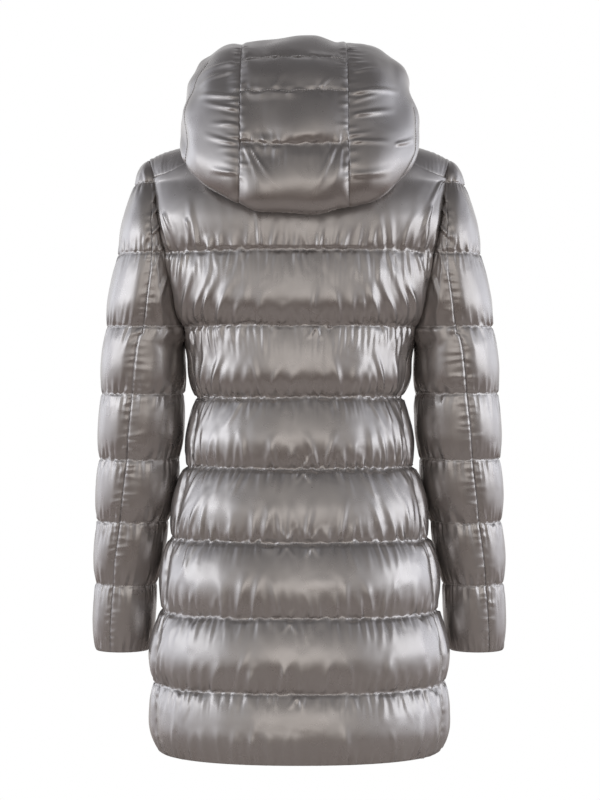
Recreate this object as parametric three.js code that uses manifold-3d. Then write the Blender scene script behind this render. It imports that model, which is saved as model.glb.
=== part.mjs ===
// A women's hooded, thigh-length down jacket, filled out as it is worn, with nobody in it.
// Millimetres. +X is the wearer's right, +Y the front, +Z up.
// The origin is where the wearer's shoulders carry it: on the middle line, level with the neck.
import * as THREE from 'three';
import { mergeVertices } from 'three/addons/utils/BufferGeometryUtils.js';
import Module from 'manifold-3d';

const wasm = await Module();
wasm.setup();

// ---- driving sizes -------------------------------------------------------------------------
const CLOTH = 2; // shell, lining and seam allowance, pressed flat by the stitches
const SEAM_GAP = 0.3; // between two pieces at their seam
const BODY_PUFF = { out: 12, in: 4 }; // how far a channel's down stands out and in
const SLEEVE_PUFF = { out: 5, in: 4 };
const HOOD_PUFF = { out: 8, in: 3 };
const COLLAR_PUFF = { out: 4, in: 2 };
const SQUARE = 2.25; // power of the level sections: 2 is an ellipse, more is squarer
const ZIP_HALF_GAP = 7; // from the middle line to each front's edge
const COLLAR_HEIGHT = 62;
const QUARTER = Math.PI / 2;

// The body's stitch lines, from the hem up to the yoke, and the sleeve's, from cuff to cap.
const BODY_LINES = [-775, -686, -594, -501, -409, -319, -228, -135, -45];
const SLEEVE_LINES = [-652, -563, -481, -399, -314, -228, -135, -45];
const UNDERARM_Z = -236;
const SHOULDER_Z = BODY_LINES[8];

// The body's level sections: half its width, how far it reaches back and front, and how far
// behind the middle of the side the side seam lies.
const BODY = table(
  ['z', 'side', 'back', 'front', 'seamBack'],
  [
    [-775, 181, 136, 126, 46],
    [-686, 186, 139, 130, 46],
    [-594, 176, 134, 130, 44],
    [-501, 164, 121, 125, 42],
    [-409, 144, 105, 116, 40],
    [-319, 131, 99, 110, 36],
    [-270, 136, 104, 116, 30],
    [-236, 149, 109, 121, 24],
    [-190, 166, 114, 121, 24],
    [-135, 191, 118, 114, 24],
    [-105, 198, 115, 106, 24],
    [-75, 199, 108, 96, 24],
    [-45, 197, 95, 84, 24],
  ],
);

// The armhole's edge: its distance from the middle line, at the back and at the front.
const ARMHOLE = table(
  ['z', 'backX', 'frontX'],
  [
    [-236, 147, 147],
    [-190, 157, 153],
    [-135, 171, 162],
    [-105, 176.5, 168],
    [-75, 181.5, 176],
    [-45, 187, 185],
  ],
);
const ARMHOLE_MIDDLE = { y: 0, z: -125 };
const SHOULDER_TIP = [196, 2, -12];
const NECK_POINT = [76, -10, 18];
const NECK_BACK = [0, -62, 0];
const NECK_FRONT = [0, 76, -36];
const NECK_SHARE = 3 / 7; // share of a back or front panel's half width that the neck takes

// The dropped shoulder seam, from the armhole to the neckline: a share of the half width, and a
// height on the back's rise from the yoke line (0) to the ridge or the neckline (1).
const SHOULDER_SEAM = [
  { column: 1, share: 1, height: 0.14 },
  { column: 6 / 7, share: 6 / 7, height: 0.16 },
  { column: 5 / 7, share: 5 / 7, height: 0.24 },
  { column: 4 / 7, share: 4 / 7, height: 0.52 },
  { column: 3 / 7, share: 2.5 / 7, height: 1 },
];
// Heights on the rise over the shoulder where the armhole's edge has a corner.
const RISE_ROWS = [0.07, 0.14, 0.43, 0.71, 1];
const SEAM_ROW = 1; // the one of them where the shoulder seam starts

// The sleeve's level sections: its outermost point, its middle and depth, and below the arm its
// width. The turns are angles from the outermost point: back to the elbow seam, on to the line
// below the armhole's back corner, and round the inside to the front seam.
const SLEEVE = table(
  ['z', 'outX', 'y', 'wide', 'deep', 'elbow', 'corner', 'frontSeam'],
  [
    [-652, 267, 50, 33, 36, 66, 130, 228],
    [-563, 265.5, 41, 37, 42, 69, 132, 228],
    [-481, 262, 31, 43.5, 47, 72, 134, 226],
    [-399, 259, 20, 49.5, 51, 75, 136, 222],
    [-314, 255, 10, 50.5, 54, 79, 144, 214],
    [-254, 250.5, 4, 48, 56, 84, 155, 206],
    [-228, 247.5, 2, 49, 57, 86, 156, 204],
    [-190, 242, 0, 49, 61, 88, 150, 210],
    [-135, 232, 0, 49, 66, 92, 130, 230],
    [-105, 226, 0, 45, 64.5, 94, 120, 240],
    [-72, 218, 0, 38, 56, 99, 110, 250],
    [-45, 211, 0, 24, 38, 100, 110, 250],
  ],
);

// The hood's lines, from its face edge over the top and down the back to the fold, then under to
// the neckline: the middle of the back, the widest point at the side, and the face opening's edge.
const HOOD = table(
  ['row', 'backY', 'backZ', 'wideX', 'wideY', 'wideZ', 'edgeX', 'edgeY', 'edgeZ'],
  [
    [0, 18, 134, 92, 22, 125, 88, 28, 125],
    [1, -26, 136, 110, 4, 115, 100, 34, 114],
    [2, -70, 124, 125, -14, 101, 108, 37, 97],
    [3, -108, 102, 134, -32, 84, 111, 39, 78],
    [4, -146, 57, 139, -46, 60, 109, 40, 60],
    [5, -168, -10, 143, -56, 30, 104, 40, 46],
    [6, -174, -50, 144, -60, 15, 99, 39, 38],
    [7, -164, -84, 142, -61, 10, 95, 38, 33],
    [8, -148, -92, 132, -57, 14, 90, 37, 30],
  ],
);
const HOOD_LINES = [0, 3, 4, 5, 8];
const HOOD_CENTRE_HALF = 66; // half the width of its centre panel
const HOOD_NECK_END = 0.3; // where on the front's neckline the hood stops
const HOOD_SEAT = { up: 1.6, out: 2.3 }; // from the neckline to the neck band's edge
const HOOD_GAP = 0.0012; // half a seam's gap, as a share of a hood line
const HOOD_ROWS = [0, 0.9, 2, 3, 3.5, 4, 4.5, 5, 5.8, 6.6, 7.3, 8];
const HOOD_BAND_ROWS = [8, 8.3, 8.6, 9];
const HOOD_BAND_LIFT = 2; // how far the neck band arches clear of the shoulders

// Columns of faces: the back's on each side of its middle, the front's under the arm, over the
// shoulder and below the neck, the sleeve's.
const BACK_COLUMNS = 7;
const SIDE_COLUMNS = 4;
const FLAP_SHARES = [1, 6 / 7, 5 / 7, 4 / 7];
const NECK_SHARES = [3 / 7, 2 / 7, 1 / 7];
const UPPER_COLUMNS = 8;
const STRIP_COLUMNS = 2;
const HOOD_COLUMNS = 6;
const ZIP_SHARE = { yoke: 0.0196, neck: 0.0252 }; // where the front's edge is ZIP_HALF_GAP away

const RIDGE_CROWN = 3; // how far the shoulder's ridge rises above a straight line
const FRONT_NECK_POWER = 2.2; // how late the front neckline climbs
const UNDERARM_SAG = 5; // how far the armhole's bottom hangs below its corners
const CORNER_GAP = 0.004; // a seam's gap, as a share of the armhole's bottom
const SEAM_STEP = 0.002; // half a seam's gap, as a share of the rise over the shoulder
const YOKE_PUFF = 0.35; // fullness above the yoke line
const CAP_PUFF = 0.8; // fullness at the top of the sleeve
const CAP_ROUND = 1.3; // how suddenly the cap rounds over towards the shoulder's tip
const CAP_LEDGE = 4; // how far the cap stands outside the armhole at the tip
const ARMHOLE_SWELL = 1.03; // depth of the sleeve beside the armhole, as a share of the armhole's
const ELBOW_END_STEP = 0.12; // share of a row that the sleeve closes in above the elbow seam
const COLLAR_LEAN = 4; // how far the collar leans in over its height
const COLLAR_ROWS = [
  { height: 0, full: 0 },
  { height: 0.04, full: 0 },
  { height: 0.25, full: 1 },
  { height: 0.5, full: 0 },
  { height: 0.75, full: 1 },
  { height: 1, full: 0 },
];

// The zip: its section from the middle line outward, and its hard parts in their own frame.
const ZIP_START_Z = -767;
const ZIP_IN = -0.5; // from the shell's surface to the middle of the tape
const ZIP_SECTION = { gap: 0.15, bead: 2.8, edge: 6.2, beadHalf: 1.5, tapeHalf: 0.6 };
const ZIP_BOX = [7, 4.4, 7.5]; // across, out, up
const SLIDER = { width: 8.6, plateOut: 3.4, mouth: 1.9, bottom: -11, post: 0.4, top: 3.4 };
const BRIDGE = { width: 1.6, out: 7.8, bottom: -8.9, top: -0.4, leg: 1.5, corner: 1 };
const TAB = { half: 2.7, bar: 0.8, eye: 1.15, eyeLength: 5.7, length: 30, out: 4.75, up: -6 };

const SHELL = { color: 0x8c8480, roughness: 0.35, metalness: 0.3 };
const TAPE = { color: 0x6b6460, roughness: 0.7, metalness: 0 };
const METAL = { color: 0x9a9895, roughness: 0.3, metalness: 1 };

// ---- small helpers -------------------------------------------------------------------------
// A table of named columns; the first column is the one that it is read by.
function table(columns, rows) {
  const ordered = [...rows].sort((a, b) => a[0] - b[0]);
  return { columns, rows: ordered };
}

// A table read at any value of its first column, on smooth curves that never overshoot a row.
function read(source, at) {
  const { columns, rows } = source;
  const last = rows.length - 1;
  const clamped = Math.min(Math.max(at, rows[0][0]), rows[last][0]);
  let k = 0;
  while (k < last - 1 && clamped > rows[k + 1][0]) {
    k += 1;
  }
  const step = rows[k + 1][0] - rows[k][0];
  const f = (clamped - rows[k][0]) / step;
  const found = {};
  columns.forEach((name, c) => {
    const rise = (i) => (rows[i + 1][c] - rows[i][c]) / (rows[i + 1][0] - rows[i][0]);
    const slope = (i) => {
      if (i === 0 || i === last) {
        return rise(Math.min(i, last - 1));
      }
      const before = rise(i - 1);
      const after = rise(i);
      return before * after <= 0 ? 0 : (2 * before * after) / (before + after);
    };
    found[name] = (1 + 2 * f) * (1 - f) ** 2 * rows[k][c]
      + f * (1 - f) ** 2 * step * slope(k)
      + f * f * (3 - 2 * f) * rows[k + 1][c]
      + f * f * (f - 1) * step * slope(k + 1);
  });
  return found;
}

const mix = (a, b, f) => a + (b - a) * f;
const mixPoint = (a, b, f) => a.map((value, i) => mix(value, b[i], f));
const mirrored = ([x, y, z]) => [-x, y, z];

// How full a channel is between its two stitch lines, from 0 at its top line to 0 at its bottom
// one. The down sinks, so it is fullest below the middle.
const FULLEST = 0.58;
const fullness = (f) => Math.sin(Math.PI * f ** (Math.log(0.5) / Math.log(FULLEST))) ** 0.6;

// The share of a height's channel that lies above it, from 0 to 1.
function channelShare(lines, z) {
  for (let k = 0; k < lines.length - 1; k += 1) {
    if (z >= lines[k] && z <= lines[k + 1]) {
      return (lines[k + 1] - z) / (lines[k + 1] - lines[k]);
    }
  }
  return 0;
}

// Heights for a row of faces on each stitch line and two more inside each channel.
const INSIDE_ROWS = [0.68, 0.3];
function rowHeights(lines) {
  const heights = [];
  for (let k = 0; k < lines.length - 1; k += 1) {
    heights.push(lines[k]);
    INSIDE_ROWS.forEach((f) => heights.push(mix(lines[k + 1], lines[k], f)));
  }
  heights.push(lines[lines.length - 1]);
  return heights;
}

// A closed wall from rows of points, each an outside and an inside one. Cells that keep() refuses
// are left open, and every open edge gets a rim.
function wall(rows, keep = () => true) {
  const positions = [];
  const number = new Map();
  const corner = (side, i, j) => {
    const key = `${side} ${i} ${j}`;
    if (!number.has(key)) {
      number.set(key, positions.length / 3);
      positions.push(...rows[i][j][side]);
    }
    return number.get(key);
  };
  const inside = (i, j) => i >= 0 && j >= 0 && i < rows.length - 1 && j < rows[0].length - 1
    && keep(i, j);
  const faces = [];
  const quad = (a, b, c, d) => faces.push([a, b, c], [a, c, d]);
  // A rim that twists is split so that it dents, and never stands out against its neighbour.
  const rim = (corners) => {
    const [a, b, c, d] = corners.map((k) => new THREE.Vector3(...positions.slice(3 * k, 3 * k + 3)));
    const normal = c.clone().sub(a).cross(d.clone().sub(b));
    const proud = a.add(c).sub(b).sub(d).dot(normal);
    const [first, ...others] = corners;
    quad(...(proud < 0 ? corners : [...others, first]));
  };
  for (let i = 0; i < rows.length - 1; i += 1) {
    for (let j = 0; j < rows[0].length - 1; j += 1) {
      if (!inside(i, j)) {
        continue;
      }
      const cell = [[i, j], [i, j + 1], [i + 1, j + 1], [i + 1, j]];
      quad(...cell.map(([r, c]) => corner('out', r, c)));
      // The same diagonal on both faces, so that a thin wall stays one thickness.
      const [a, b, c, d] = cell.map(([r, c0]) => corner('in', r, c0));
      faces.push([c, b, a], [d, c, a]);
      const beyond = [[i - 1, j], [i, j + 1], [i + 1, j], [i, j - 1]];
      beyond.forEach(([r, c0], k) => {
        if (!inside(r, c0)) {
          const from = cell[k];
          const to = cell[(k + 1) % 4];
          rim([
            corner('out', ...to),
            corner('out', ...from),
            corner('in', ...from),
            corner('in', ...to),
          ]);
        }
      });
    }
  }
  return solid(positions, faces);
}

// A geometry from shared points and triangles, turned so that its faces point out.
function solid(positions, faces) {
  const point = (n) => new THREE.Vector3().fromArray(positions, 3 * n);
  const volume = faces.reduce(
    (sum, [a, b, c]) => sum + point(a).dot(point(b).cross(point(c))) / 6,
    0,
  );
  const order = volume > 0 ? faces : faces.map(([a, b, c]) => [a, c, b]);
  const geometry = new THREE.BufferGeometry();
  geometry.setAttribute('position', new THREE.Float32BufferAttribute(positions, 3));
  geometry.setIndex(order.flat());
  geometry.computeVertexNormals();
  return geometry;
}

// ---- the body's surface --------------------------------------------------------------------
const power = (value, exponent) => Math.sign(value) * Math.abs(value) ** exponent;

// The angle on a section, 0 at the side and 90 degrees at the front or back, of the point that
// lies x from the middle line.
const turnAt = (x, side) => Math.acos(Math.min(1, (x / side) ** (SQUARE / 2)));

// A point of the body's section at height z, moved out. Turns run from -90 degrees at the back,
// through the wearer's right side, to 90 at the front.
function bodyPoint(z, turn, out = 0) {
  const section = read(BODY, z);
  const depth = (turn < 0 ? section.back : section.front) + out;
  return [
    (section.side + out) * power(Math.cos(turn), 2 / SQUARE),
    depth * power(Math.sin(turn), 2 / SQUARE),
    z,
  ];
}

function sideSeamTurn(z) {
  const section = read(BODY, z);
  return -Math.asin((section.seamBack / section.back) ** (SQUARE / 2));
}

const backEdgeTurn = (z) => (z <= UNDERARM_Z
  ? sideSeamTurn(z)
  : -turnAt(read(ARMHOLE, z).backX, read(BODY, z).side));
const frontEdgeTurn = (z) => turnAt(read(ARMHOLE, z).frontX, read(BODY, z).side);

// Half the neckline and the ridge of the shoulder: share 0 is the middle line, at the back or the
// front, and share 1 the shoulder's tip.
function topCurve(share, atBack, out = 0) {
  if (share > NECK_SHARE) {
    const f = (share - NECK_SHARE) / (1 - NECK_SHARE);
    const [x, y, z] = mixPoint(NECK_POINT, SHOULDER_TIP, f);
    return [x, y, z + RIDGE_CROWN * Math.sin(Math.PI * f) + out];
  }
  const f = (share / NECK_SHARE) * QUARTER;
  const start = atBack ? NECK_BACK : NECK_FRONT;
  const climb = atBack ? Math.sin(f) : 1 - Math.cos(f) ** FRONT_NECK_POWER;
  return [
    NECK_POINT[0] * Math.sin(f),
    mix(NECK_POINT[1], start[1], Math.cos(f)),
    mix(start[2], NECK_POINT[2], climb) + out,
  ];
}

// The body above the yoke line: height 0 is that line, and height 1 the ridge or the neckline.
function shoulderPoint(share, height, atBack, out = 0) {
  const edge = atBack ? -backEdgeTurn(SHOULDER_Z) : frontEdgeTurn(SHOULDER_Z);
  const turn = QUARTER - share * (QUARTER - edge);
  const low = bodyPoint(SHOULDER_Z, atBack ? -turn : turn, out);
  const high = topCurve(share, atBack, out);
  return [
    mix(low[0], high[0], height),
    mix(high[1], low[1], Math.cos(height * QUARTER)),
    mix(low[2], high[2], Math.sin(height * QUARTER)),
  ];
}

// ---- the armhole ---------------------------------------------------------------------------
// The body's levels: a height, or above the yoke line a rise over the shoulder.
const BODY_LEVELS = [...rowHeights(BODY_LINES), UNDERARM_Z].sort((a, b) => a - b);

const armholeBack = ({ z, rise }) => (rise
  ? shoulderPoint(1, rise, true)
  : bodyPoint(z, backEdgeTurn(z)));
const armholeFront = ({ z, rise }) => (rise
  ? shoulderPoint(1, rise, false)
  : bodyPoint(z, frontEdgeTurn(z)));

// The bottom of the armhole, from its back corner (0) to its front corner (1).
function armholeBottom(f) {
  const turn = mix(sideSeamTurn(UNDERARM_Z), frontEdgeTurn(UNDERARM_Z), f);
  const [x, y, z] = bodyPoint(UNDERARM_Z, turn);
  return [x, y, z - UNDERARM_SAG * Math.sin(Math.PI * f)];
}

// Both pieces' rims at the armhole point at its middle, so they lie flat against each other.
function armholeRim([x, y, z]) {
  const toward = new THREE.Vector2(ARMHOLE_MIDDLE.y - y, ARMHOLE_MIDDLE.z - z).setLength(CLOTH);
  return [x, y + toward.x, z + toward.y];
}

// ---- back and fronts -----------------------------------------------------------------------
const EDGE_PUFF = 0.25; // a channel's fullness at a panel's edge, as a share of its middle's
const edgeFade = (s) => mix(1, EDGE_PUFF, Math.abs(s) ** 6);

// A pair of points, outside and inside, on a wall that puffs by the given share.
const pair = (place, puff, full) => ({
  out: place(puff.out * full),
  in: place(-CLOTH - puff.in * full),
});
const armholePair = (point) => ({ out: point, in: armholeRim(point) });

const seamEnd = (column) => SHOULDER_SEAM.find((row) => Math.abs(row.column - column) < 1e-6)
  || { column, share: column, height: 1 };

function back() {
  const shares = [];
  for (let j = -BACK_COLUMNS; j <= BACK_COLUMNS; j += 1) {
    shares.push(j / BACK_COLUMNS);
  }
  const rows = BODY_LEVELS.map((z) => {
    const full = fullness(channelShare(BODY_LINES, z));
    const edge = backEdgeTurn(z) - SEAM_GAP / 2 / read(BODY, z).side;
    return shares.map((s) => {
      const turn = -QUARTER + s * (edge + QUARTER);
      if (Math.abs(s) === 1 && z >= UNDERARM_Z) {
        return armholePair(bodyPoint(z, turn));
      }
      return pair((out) => bodyPoint(z, turn, out), BODY_PUFF, full * edgeFade(s));
    });
  });
  RISE_ROWS.slice(0, SEAM_ROW + 1).forEach((rise) => {
    const f = rise / RISE_ROWS[SEAM_ROW];
    rows.push(shares.map((s) => {
      const end = seamEnd(Math.abs(s));
      const share = mix(Math.abs(s), end.share, f);
      const height = f * (end.height - SEAM_STEP);
      const place = (out) => {
        const point = shoulderPoint(share, height, true, out);
        return s < 0 ? mirrored(point) : point;
      };
      if (Math.abs(s) === 1) {
        return armholePair(place(0));
      }
      return pair(place, BODY_PUFF, YOKE_PUFF * (1 - f) * edgeFade(s));
    }));
  });
  return wall(rows);
}

// A front runs from the side seam, round the side and under the arm, to the zip, and over the
// shoulder to the dropped seam. Its side columns stop under the arm.
function front() {
  const shares = [...FLAP_SHARES, ...NECK_SHARES];
  const total = SIDE_COLUMNS + shares.length;
  const rows = BODY_LEVELS.map((z) => {
    const full = fullness(channelShare(BODY_LINES, z));
    const { side } = read(BODY, z);
    const seam = sideSeamTurn(z) + SEAM_GAP / 2 / side;
    const edge = frontEdgeTurn(Math.max(z, UNDERARM_Z));
    const zip = turnAt(ZIP_HALF_GAP, side);
    const turns = [];
    for (let j = 0; j < SIDE_COLUMNS; j += 1) {
      turns.push(mix(seam, edge, j / SIDE_COLUMNS));
    }
    shares.forEach((share) => turns.push(mix(zip, edge, share)));
    turns.push(zip);
    return turns.map((turn, j) => {
      const first = z < UNDERARM_Z ? 0 : SIDE_COLUMNS;
      const s = (2 * (j - first)) / (total - first) - 1;
      if (z >= UNDERARM_Z && j <= SIDE_COLUMNS) {
        const atBottom = z === UNDERARM_Z && j > 0 && j < SIDE_COLUMNS;
        return armholePair(atBottom ? armholeBottom(j / SIDE_COLUMNS) : bodyPoint(z, turn));
      }
      return pair((out) => bodyPoint(z, turn, out), BODY_PUFF, full * edgeFade(s));
    });
  });
  const overShoulder = (step) => {
    const points = [];
    for (let j = -SIDE_COLUMNS; j <= shares.length; j += 1) {
      points.push(step(Math.max(0, j)));
    }
    rows.push(points);
  };
  RISE_ROWS.forEach((rise) => overShoulder((j) => {
    const share = shares[j] ?? mix(ZIP_SHARE.yoke, ZIP_SHARE.neck, rise);
    const place = (out) => shoulderPoint(share, rise, false, out);
    const full = YOKE_PUFF * fullness(1 - rise / (share > NECK_SHARE ? 2 : 1));
    return j === 0 ? armholePair(place(0)) : pair(place, BODY_PUFF, full);
  }));
  const ridge = rows.length - 1;
  RISE_ROWS.slice(SEAM_ROW, -1).reverse().forEach((rise) => overShoulder((j) => {
    const f = (1 - rise) / (1 - RISE_ROWS[SEAM_ROW]);
    const column = shares[j] ?? 0;
    const end = seamEnd(column);
    const height = mix(1, end.height + SEAM_STEP, f);
    const place = (out) => shoulderPoint(mix(column, end.share, f), height, true, out);
    const full = column > NECK_SHARE ? YOKE_PUFF * fullness((1 - f) / 2) : 0;
    return j === 0 ? armholePair(place(0)) : pair(place, BODY_PUFF, full);
  }));
  const keep = (i, j) => {
    if (i < BODY_LEVELS.indexOf(UNDERARM_Z)) {
      return true;
    }
    return j >= SIDE_COLUMNS && (i < ridge || j < SIDE_COLUMNS + FLAP_SHARES.length);
  };
  return wall(rows, keep);
}

// ---- sleeves -------------------------------------------------------------------------------
const degrees = Math.PI / 180;
const beside = ([x, y, z]) => [x + SEAM_GAP, y, z];

// The sleeve's levels: heights up to the yoke line, then rises over the shoulder.
const SLEEVE_LOW = rowHeights(SLEEVE_LINES).filter((z) => z < UNDERARM_Z);
const SLEEVE_HIGH = BODY_LEVELS.filter((z) => z >= UNDERARM_Z);
const ELBOW_SEAM_Z = SLEEVE_HIGH[SLEEVE_HIGH.length - 2];
const SLEEVE_RISES = RISE_ROWS.slice(0, -2);

// One level of the sleeve: a function from a turn, positive to the back, and a distance out.
function sleeveLevel(level) {
  const section = read(SLEEVE, level.z);
  if (level.z < UNDERARM_Z) {
    const middle = section.outX - section.wide;
    return {
      backTurn: section.corner * degrees,
      frontTurn: (section.frontSeam - 360) * degrees,
      at: (turn, out) => [
        middle + (section.wide + out) * Math.cos(turn),
        section.y - (section.deep + out) * Math.sin(turn),
        level.z,
      ],
    };
  }
  const shrink = 1 - (level.rise || 0) ** CAP_ROUND;
  const arc = (edge, sign) => {
    const outX = mix(edge[0] + CAP_LEDGE, section.outX, shrink);
    const reach = Math.abs(edge[1] - section.y);
    const deep = Math.max(level.rise ? 0 : section.deep, reach * ARMHOLE_SWELL);
    const turn = Math.PI - Math.asin(reach / deep);
    const wide = (outX - edge[0]) / (1 - Math.cos(turn));
    return {
      turn: sign * turn,
      at: (angle, out) => [
        outX - wide + (wide + out) * Math.cos(angle),
        section.y - (deep + out) * Math.sin(angle),
        edge[2],
      ],
    };
  };
  const behind = arc(armholeBack(level), 1);
  const before = arc(armholeFront(level), -1);
  return {
    backTurn: behind.turn,
    frontTurn: before.turn,
    at: (turn, out) => (turn > 0 ? behind : before).at(turn, out),
  };
}

const elbowTurn = (z) => read(SLEEVE, z).elbow * degrees;
const sleeveFullness = ({ z, rise }) => (rise
  ? CAP_PUFF * (1 - rise)
  : fullness(channelShare(SLEEVE_LINES, z)));

function sleeveUpper() {
  const levels = [
    ...SLEEVE_LOW.map((z) => ({ z })),
    ...SLEEVE_HIGH.map((z) => ({ z })),
    ...SLEEVE_RISES.map((rise) => ({ z: SHOULDER_Z, rise })),
  ];
  const elbowEnd = levels.findIndex(({ z }) => z === ELBOW_SEAM_Z);
  const nextUp = levels[elbowEnd + 1];
  const rowOf = (level, toArmhole) => {
    const ring = sleeveLevel(level);
    const gap = SEAM_GAP / 2 / read(SLEEVE, level.z).wide;
    const start = toArmhole ? ring.backTurn : elbowTurn(level.z) - gap;
    const end = ring.frontTurn + (level.z < UNDERARM_Z ? gap : 0);
    const points = [];
    for (let j = 0; j <= UPPER_COLUMNS; j += 1) {
      const turn = mix(start, end, j / UPPER_COLUMNS);
      const full = sleeveFullness(level) * edgeFade((2 * j) / UPPER_COLUMNS - 1);
      points.push(pair((out) => ring.at(turn, out), SLEEVE_PUFF, full));
    }
    if (toArmhole) {
      points[0] = armholePair(beside(armholeBack(level)));
    }
    if (level.z >= UNDERARM_Z) {
      points[UPPER_COLUMNS] = armholePair(beside(armholeFront(level)));
    }
    return points;
  };
  const rows = levels.map((level, i) => rowOf(level, i > elbowEnd));
  // Just above the elbow seam's end, the piece reaches back to the armhole.
  const between = rows[elbowEnd].map((point, j) => ({
    out: mixPoint(point.out, rows[elbowEnd + 1][j].out, ELBOW_END_STEP),
    in: mixPoint(point.in, rows[elbowEnd + 1][j].in, ELBOW_END_STEP),
  }));
  const edge = (z) => beside(armholeBack(z));
  between[0] = armholePair(
    mixPoint(edge(levels[elbowEnd]), edge(nextUp), ELBOW_END_STEP),
  );
  rows.splice(elbowEnd + 1, 0, between);
  // The last row lies along the top of the armhole, over the shoulder's tip.
  const topRise = { rise: RISE_ROWS[RISE_ROWS.length - 2] };
  const [from, tip, to] = [armholeBack(topRise), SHOULDER_TIP, armholeFront(topRise)].map(
    (point) => armholePair(beside(point)),
  );
  rows.push(rows[0].map((_, j) => {
    const f = (2 * j) / UPPER_COLUMNS;
    const [a, b, share] = f < 1 ? [from, tip, f] : [tip, to, f - 1];
    return { out: mixPoint(a.out, b.out, share), in: mixPoint(a.in, b.in, share) };
  }));
  return wall(rows);
}

// The under sleeve: a strip behind the armhole, and the inside of the arm below it.
function sleeveUnder() {
  const levels = [...SLEEVE_LOW, ...SLEEVE_HIGH.filter((z) => z <= ELBOW_SEAM_Z)];
  const rows = levels.map((z) => {
    const ring = sleeveLevel({ z });
    const gap = SEAM_GAP / 2 / read(SLEEVE, z).wide;
    const start = elbowTurn(z) + gap;
    const corner = ring.backTurn;
    const end = 2 * Math.PI + ring.frontTurn - gap;
    const full = sleeveFullness({ z });
    const points = [];
    for (let j = 0; j <= STRIP_COLUMNS + SIDE_COLUMNS; j += 1) {
      const turn = j <= STRIP_COLUMNS
        ? mix(start, corner, j / STRIP_COLUMNS)
        : mix(corner, end, (j - STRIP_COLUMNS) / SIDE_COLUMNS);
      const columns = z < UNDERARM_Z ? STRIP_COLUMNS + SIDE_COLUMNS : STRIP_COLUMNS;
      const fade = edgeFade(Math.min(1, (2 * j) / columns - 1));
      points.push(pair((out) => ring.at(turn, out), SLEEVE_PUFF, full * fade));
    }
    if (z >= UNDERARM_Z) {
      points[STRIP_COLUMNS] = armholePair(beside(armholeBack({ z })));
    }
    if (z === UNDERARM_Z) {
      for (let j = 1; j <= SIDE_COLUMNS; j += 1) {
        const point = beside(armholeBottom(Math.min(j / SIDE_COLUMNS, 1 - CORNER_GAP)));
        points[STRIP_COLUMNS + j] = armholePair(point);
      }
    }
    return points;
  });
  return wall(rows, (i, j) => levels[i] < UNDERARM_Z || j < STRIP_COLUMNS);
}

// ---- collar --------------------------------------------------------------------------------
function collar() {
  const half = [
    { share: ZIP_SHARE.neck, atBack: false },
    ...[...NECK_SHARES].reverse().map((share) => ({ share, atBack: false })),
    ...RISE_ROWS.slice(SEAM_ROW, -1).reverse().map((rise) => ({
      share: mix(NECK_SHARE, seamEnd(NECK_SHARE).share, (1 - rise) / (1 - RISE_ROWS[SEAM_ROW])),
      atBack: true,
    })),
    { share: 2 / 7, atBack: true },
    { share: 1 / 7, atBack: true },
  ];
  const around = [
    ...half,
    { share: 0, atBack: true },
    ...[...half].reverse().map((node) => ({ ...node, left: true })),
  ];
  const rows = COLLAR_ROWS.map(({ height, full }) => around.map((node) => {
    const [x, y, z] = topCurve(node.share, node.atBack);
    const away = new THREE.Vector2(x, y).normalize();
    const place = (out) => {
      const move = out - SEAM_GAP - COLLAR_LEAN * height;
      const point = [x + away.x * move, y + away.y * move, z - CLOTH + COLLAR_HEIGHT * height];
      return node.left ? mirrored(point) : point;
    };
    return pair(place, COLLAR_PUFF, full);
  }));
  return wall(rows);
}

// ---- hood ----------------------------------------------------------------------------------
const HOOD_WIDEST = 0.62; // share of each line from the middle of the back to its widest point
const HOOD_LAST_ROW = 8; // of the table; the line after it is the neckline itself

// A point of the hood: a row of its table, and a share from the middle of the back (0) to the
// edge of the face opening (1).
function hoodPoint(row, share) {
  if (row > HOOD_LAST_ROW) {
    const behind = share < HOOD_WIDEST;
    const f = behind ? share / HOOD_WIDEST : (1 - share) / (1 - HOOD_WIDEST);
    const onNeck = behind ? NECK_SHARE * f : mix(HOOD_NECK_END, NECK_SHARE, f);
    const [x, y, z] = topCurve(onNeck, behind, HOOD_SEAT.up);
    const away = new THREE.Vector2(x, y).setLength(HOOD_SEAT.out);
    const neck = [x + away.x, y + away.y, z];
    const low = hoodPoint(HOOD_LAST_ROW, share);
    const turn = (row - HOOD_LAST_ROW) * QUARTER;
    const climb = neck[2] > low[2] ? Math.sin(turn) : 1 - Math.cos(turn);
    return [
      mix(neck[0], low[0], Math.cos(turn)),
      mix(neck[1], low[1], Math.cos(turn)),
      mix(low[2], neck[2], climb) + HOOD_BAND_LIFT * Math.sin(2 * turn),
    ];
  }
  const line = read(HOOD, row);
  if (share < HOOD_WIDEST) {
    const turn = (share / HOOD_WIDEST) * QUARTER;
    return [
      line.wideX * power(Math.sin(turn), 2 / SQUARE),
      mix(line.wideY, line.backY, power(Math.cos(turn), 2 / SQUARE)),
      mix(line.wideZ, line.backZ, Math.cos(turn)),
    ];
  }
  const turn = ((share - HOOD_WIDEST) / (1 - HOOD_WIDEST)) * QUARTER;
  return [
    mix(line.edgeX, line.wideX, Math.cos(turn)),
    mix(line.wideY, line.edgeY, Math.sin(turn)),
    mix(line.wideZ, line.edgeZ, Math.sin(turn)),
  ];
}

// The share of a line at which the centre panel ends.
function hoodSeamShare(row) {
  const wide = mix(read(HOOD, row).wideX, NECK_POINT[0], Math.max(0, row - HOOD_LAST_ROW));
  return (HOOD_WIDEST * Math.asin((HOOD_CENTRE_HALF / wide) ** (SQUARE / 2))) / QUARTER;
}

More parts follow.
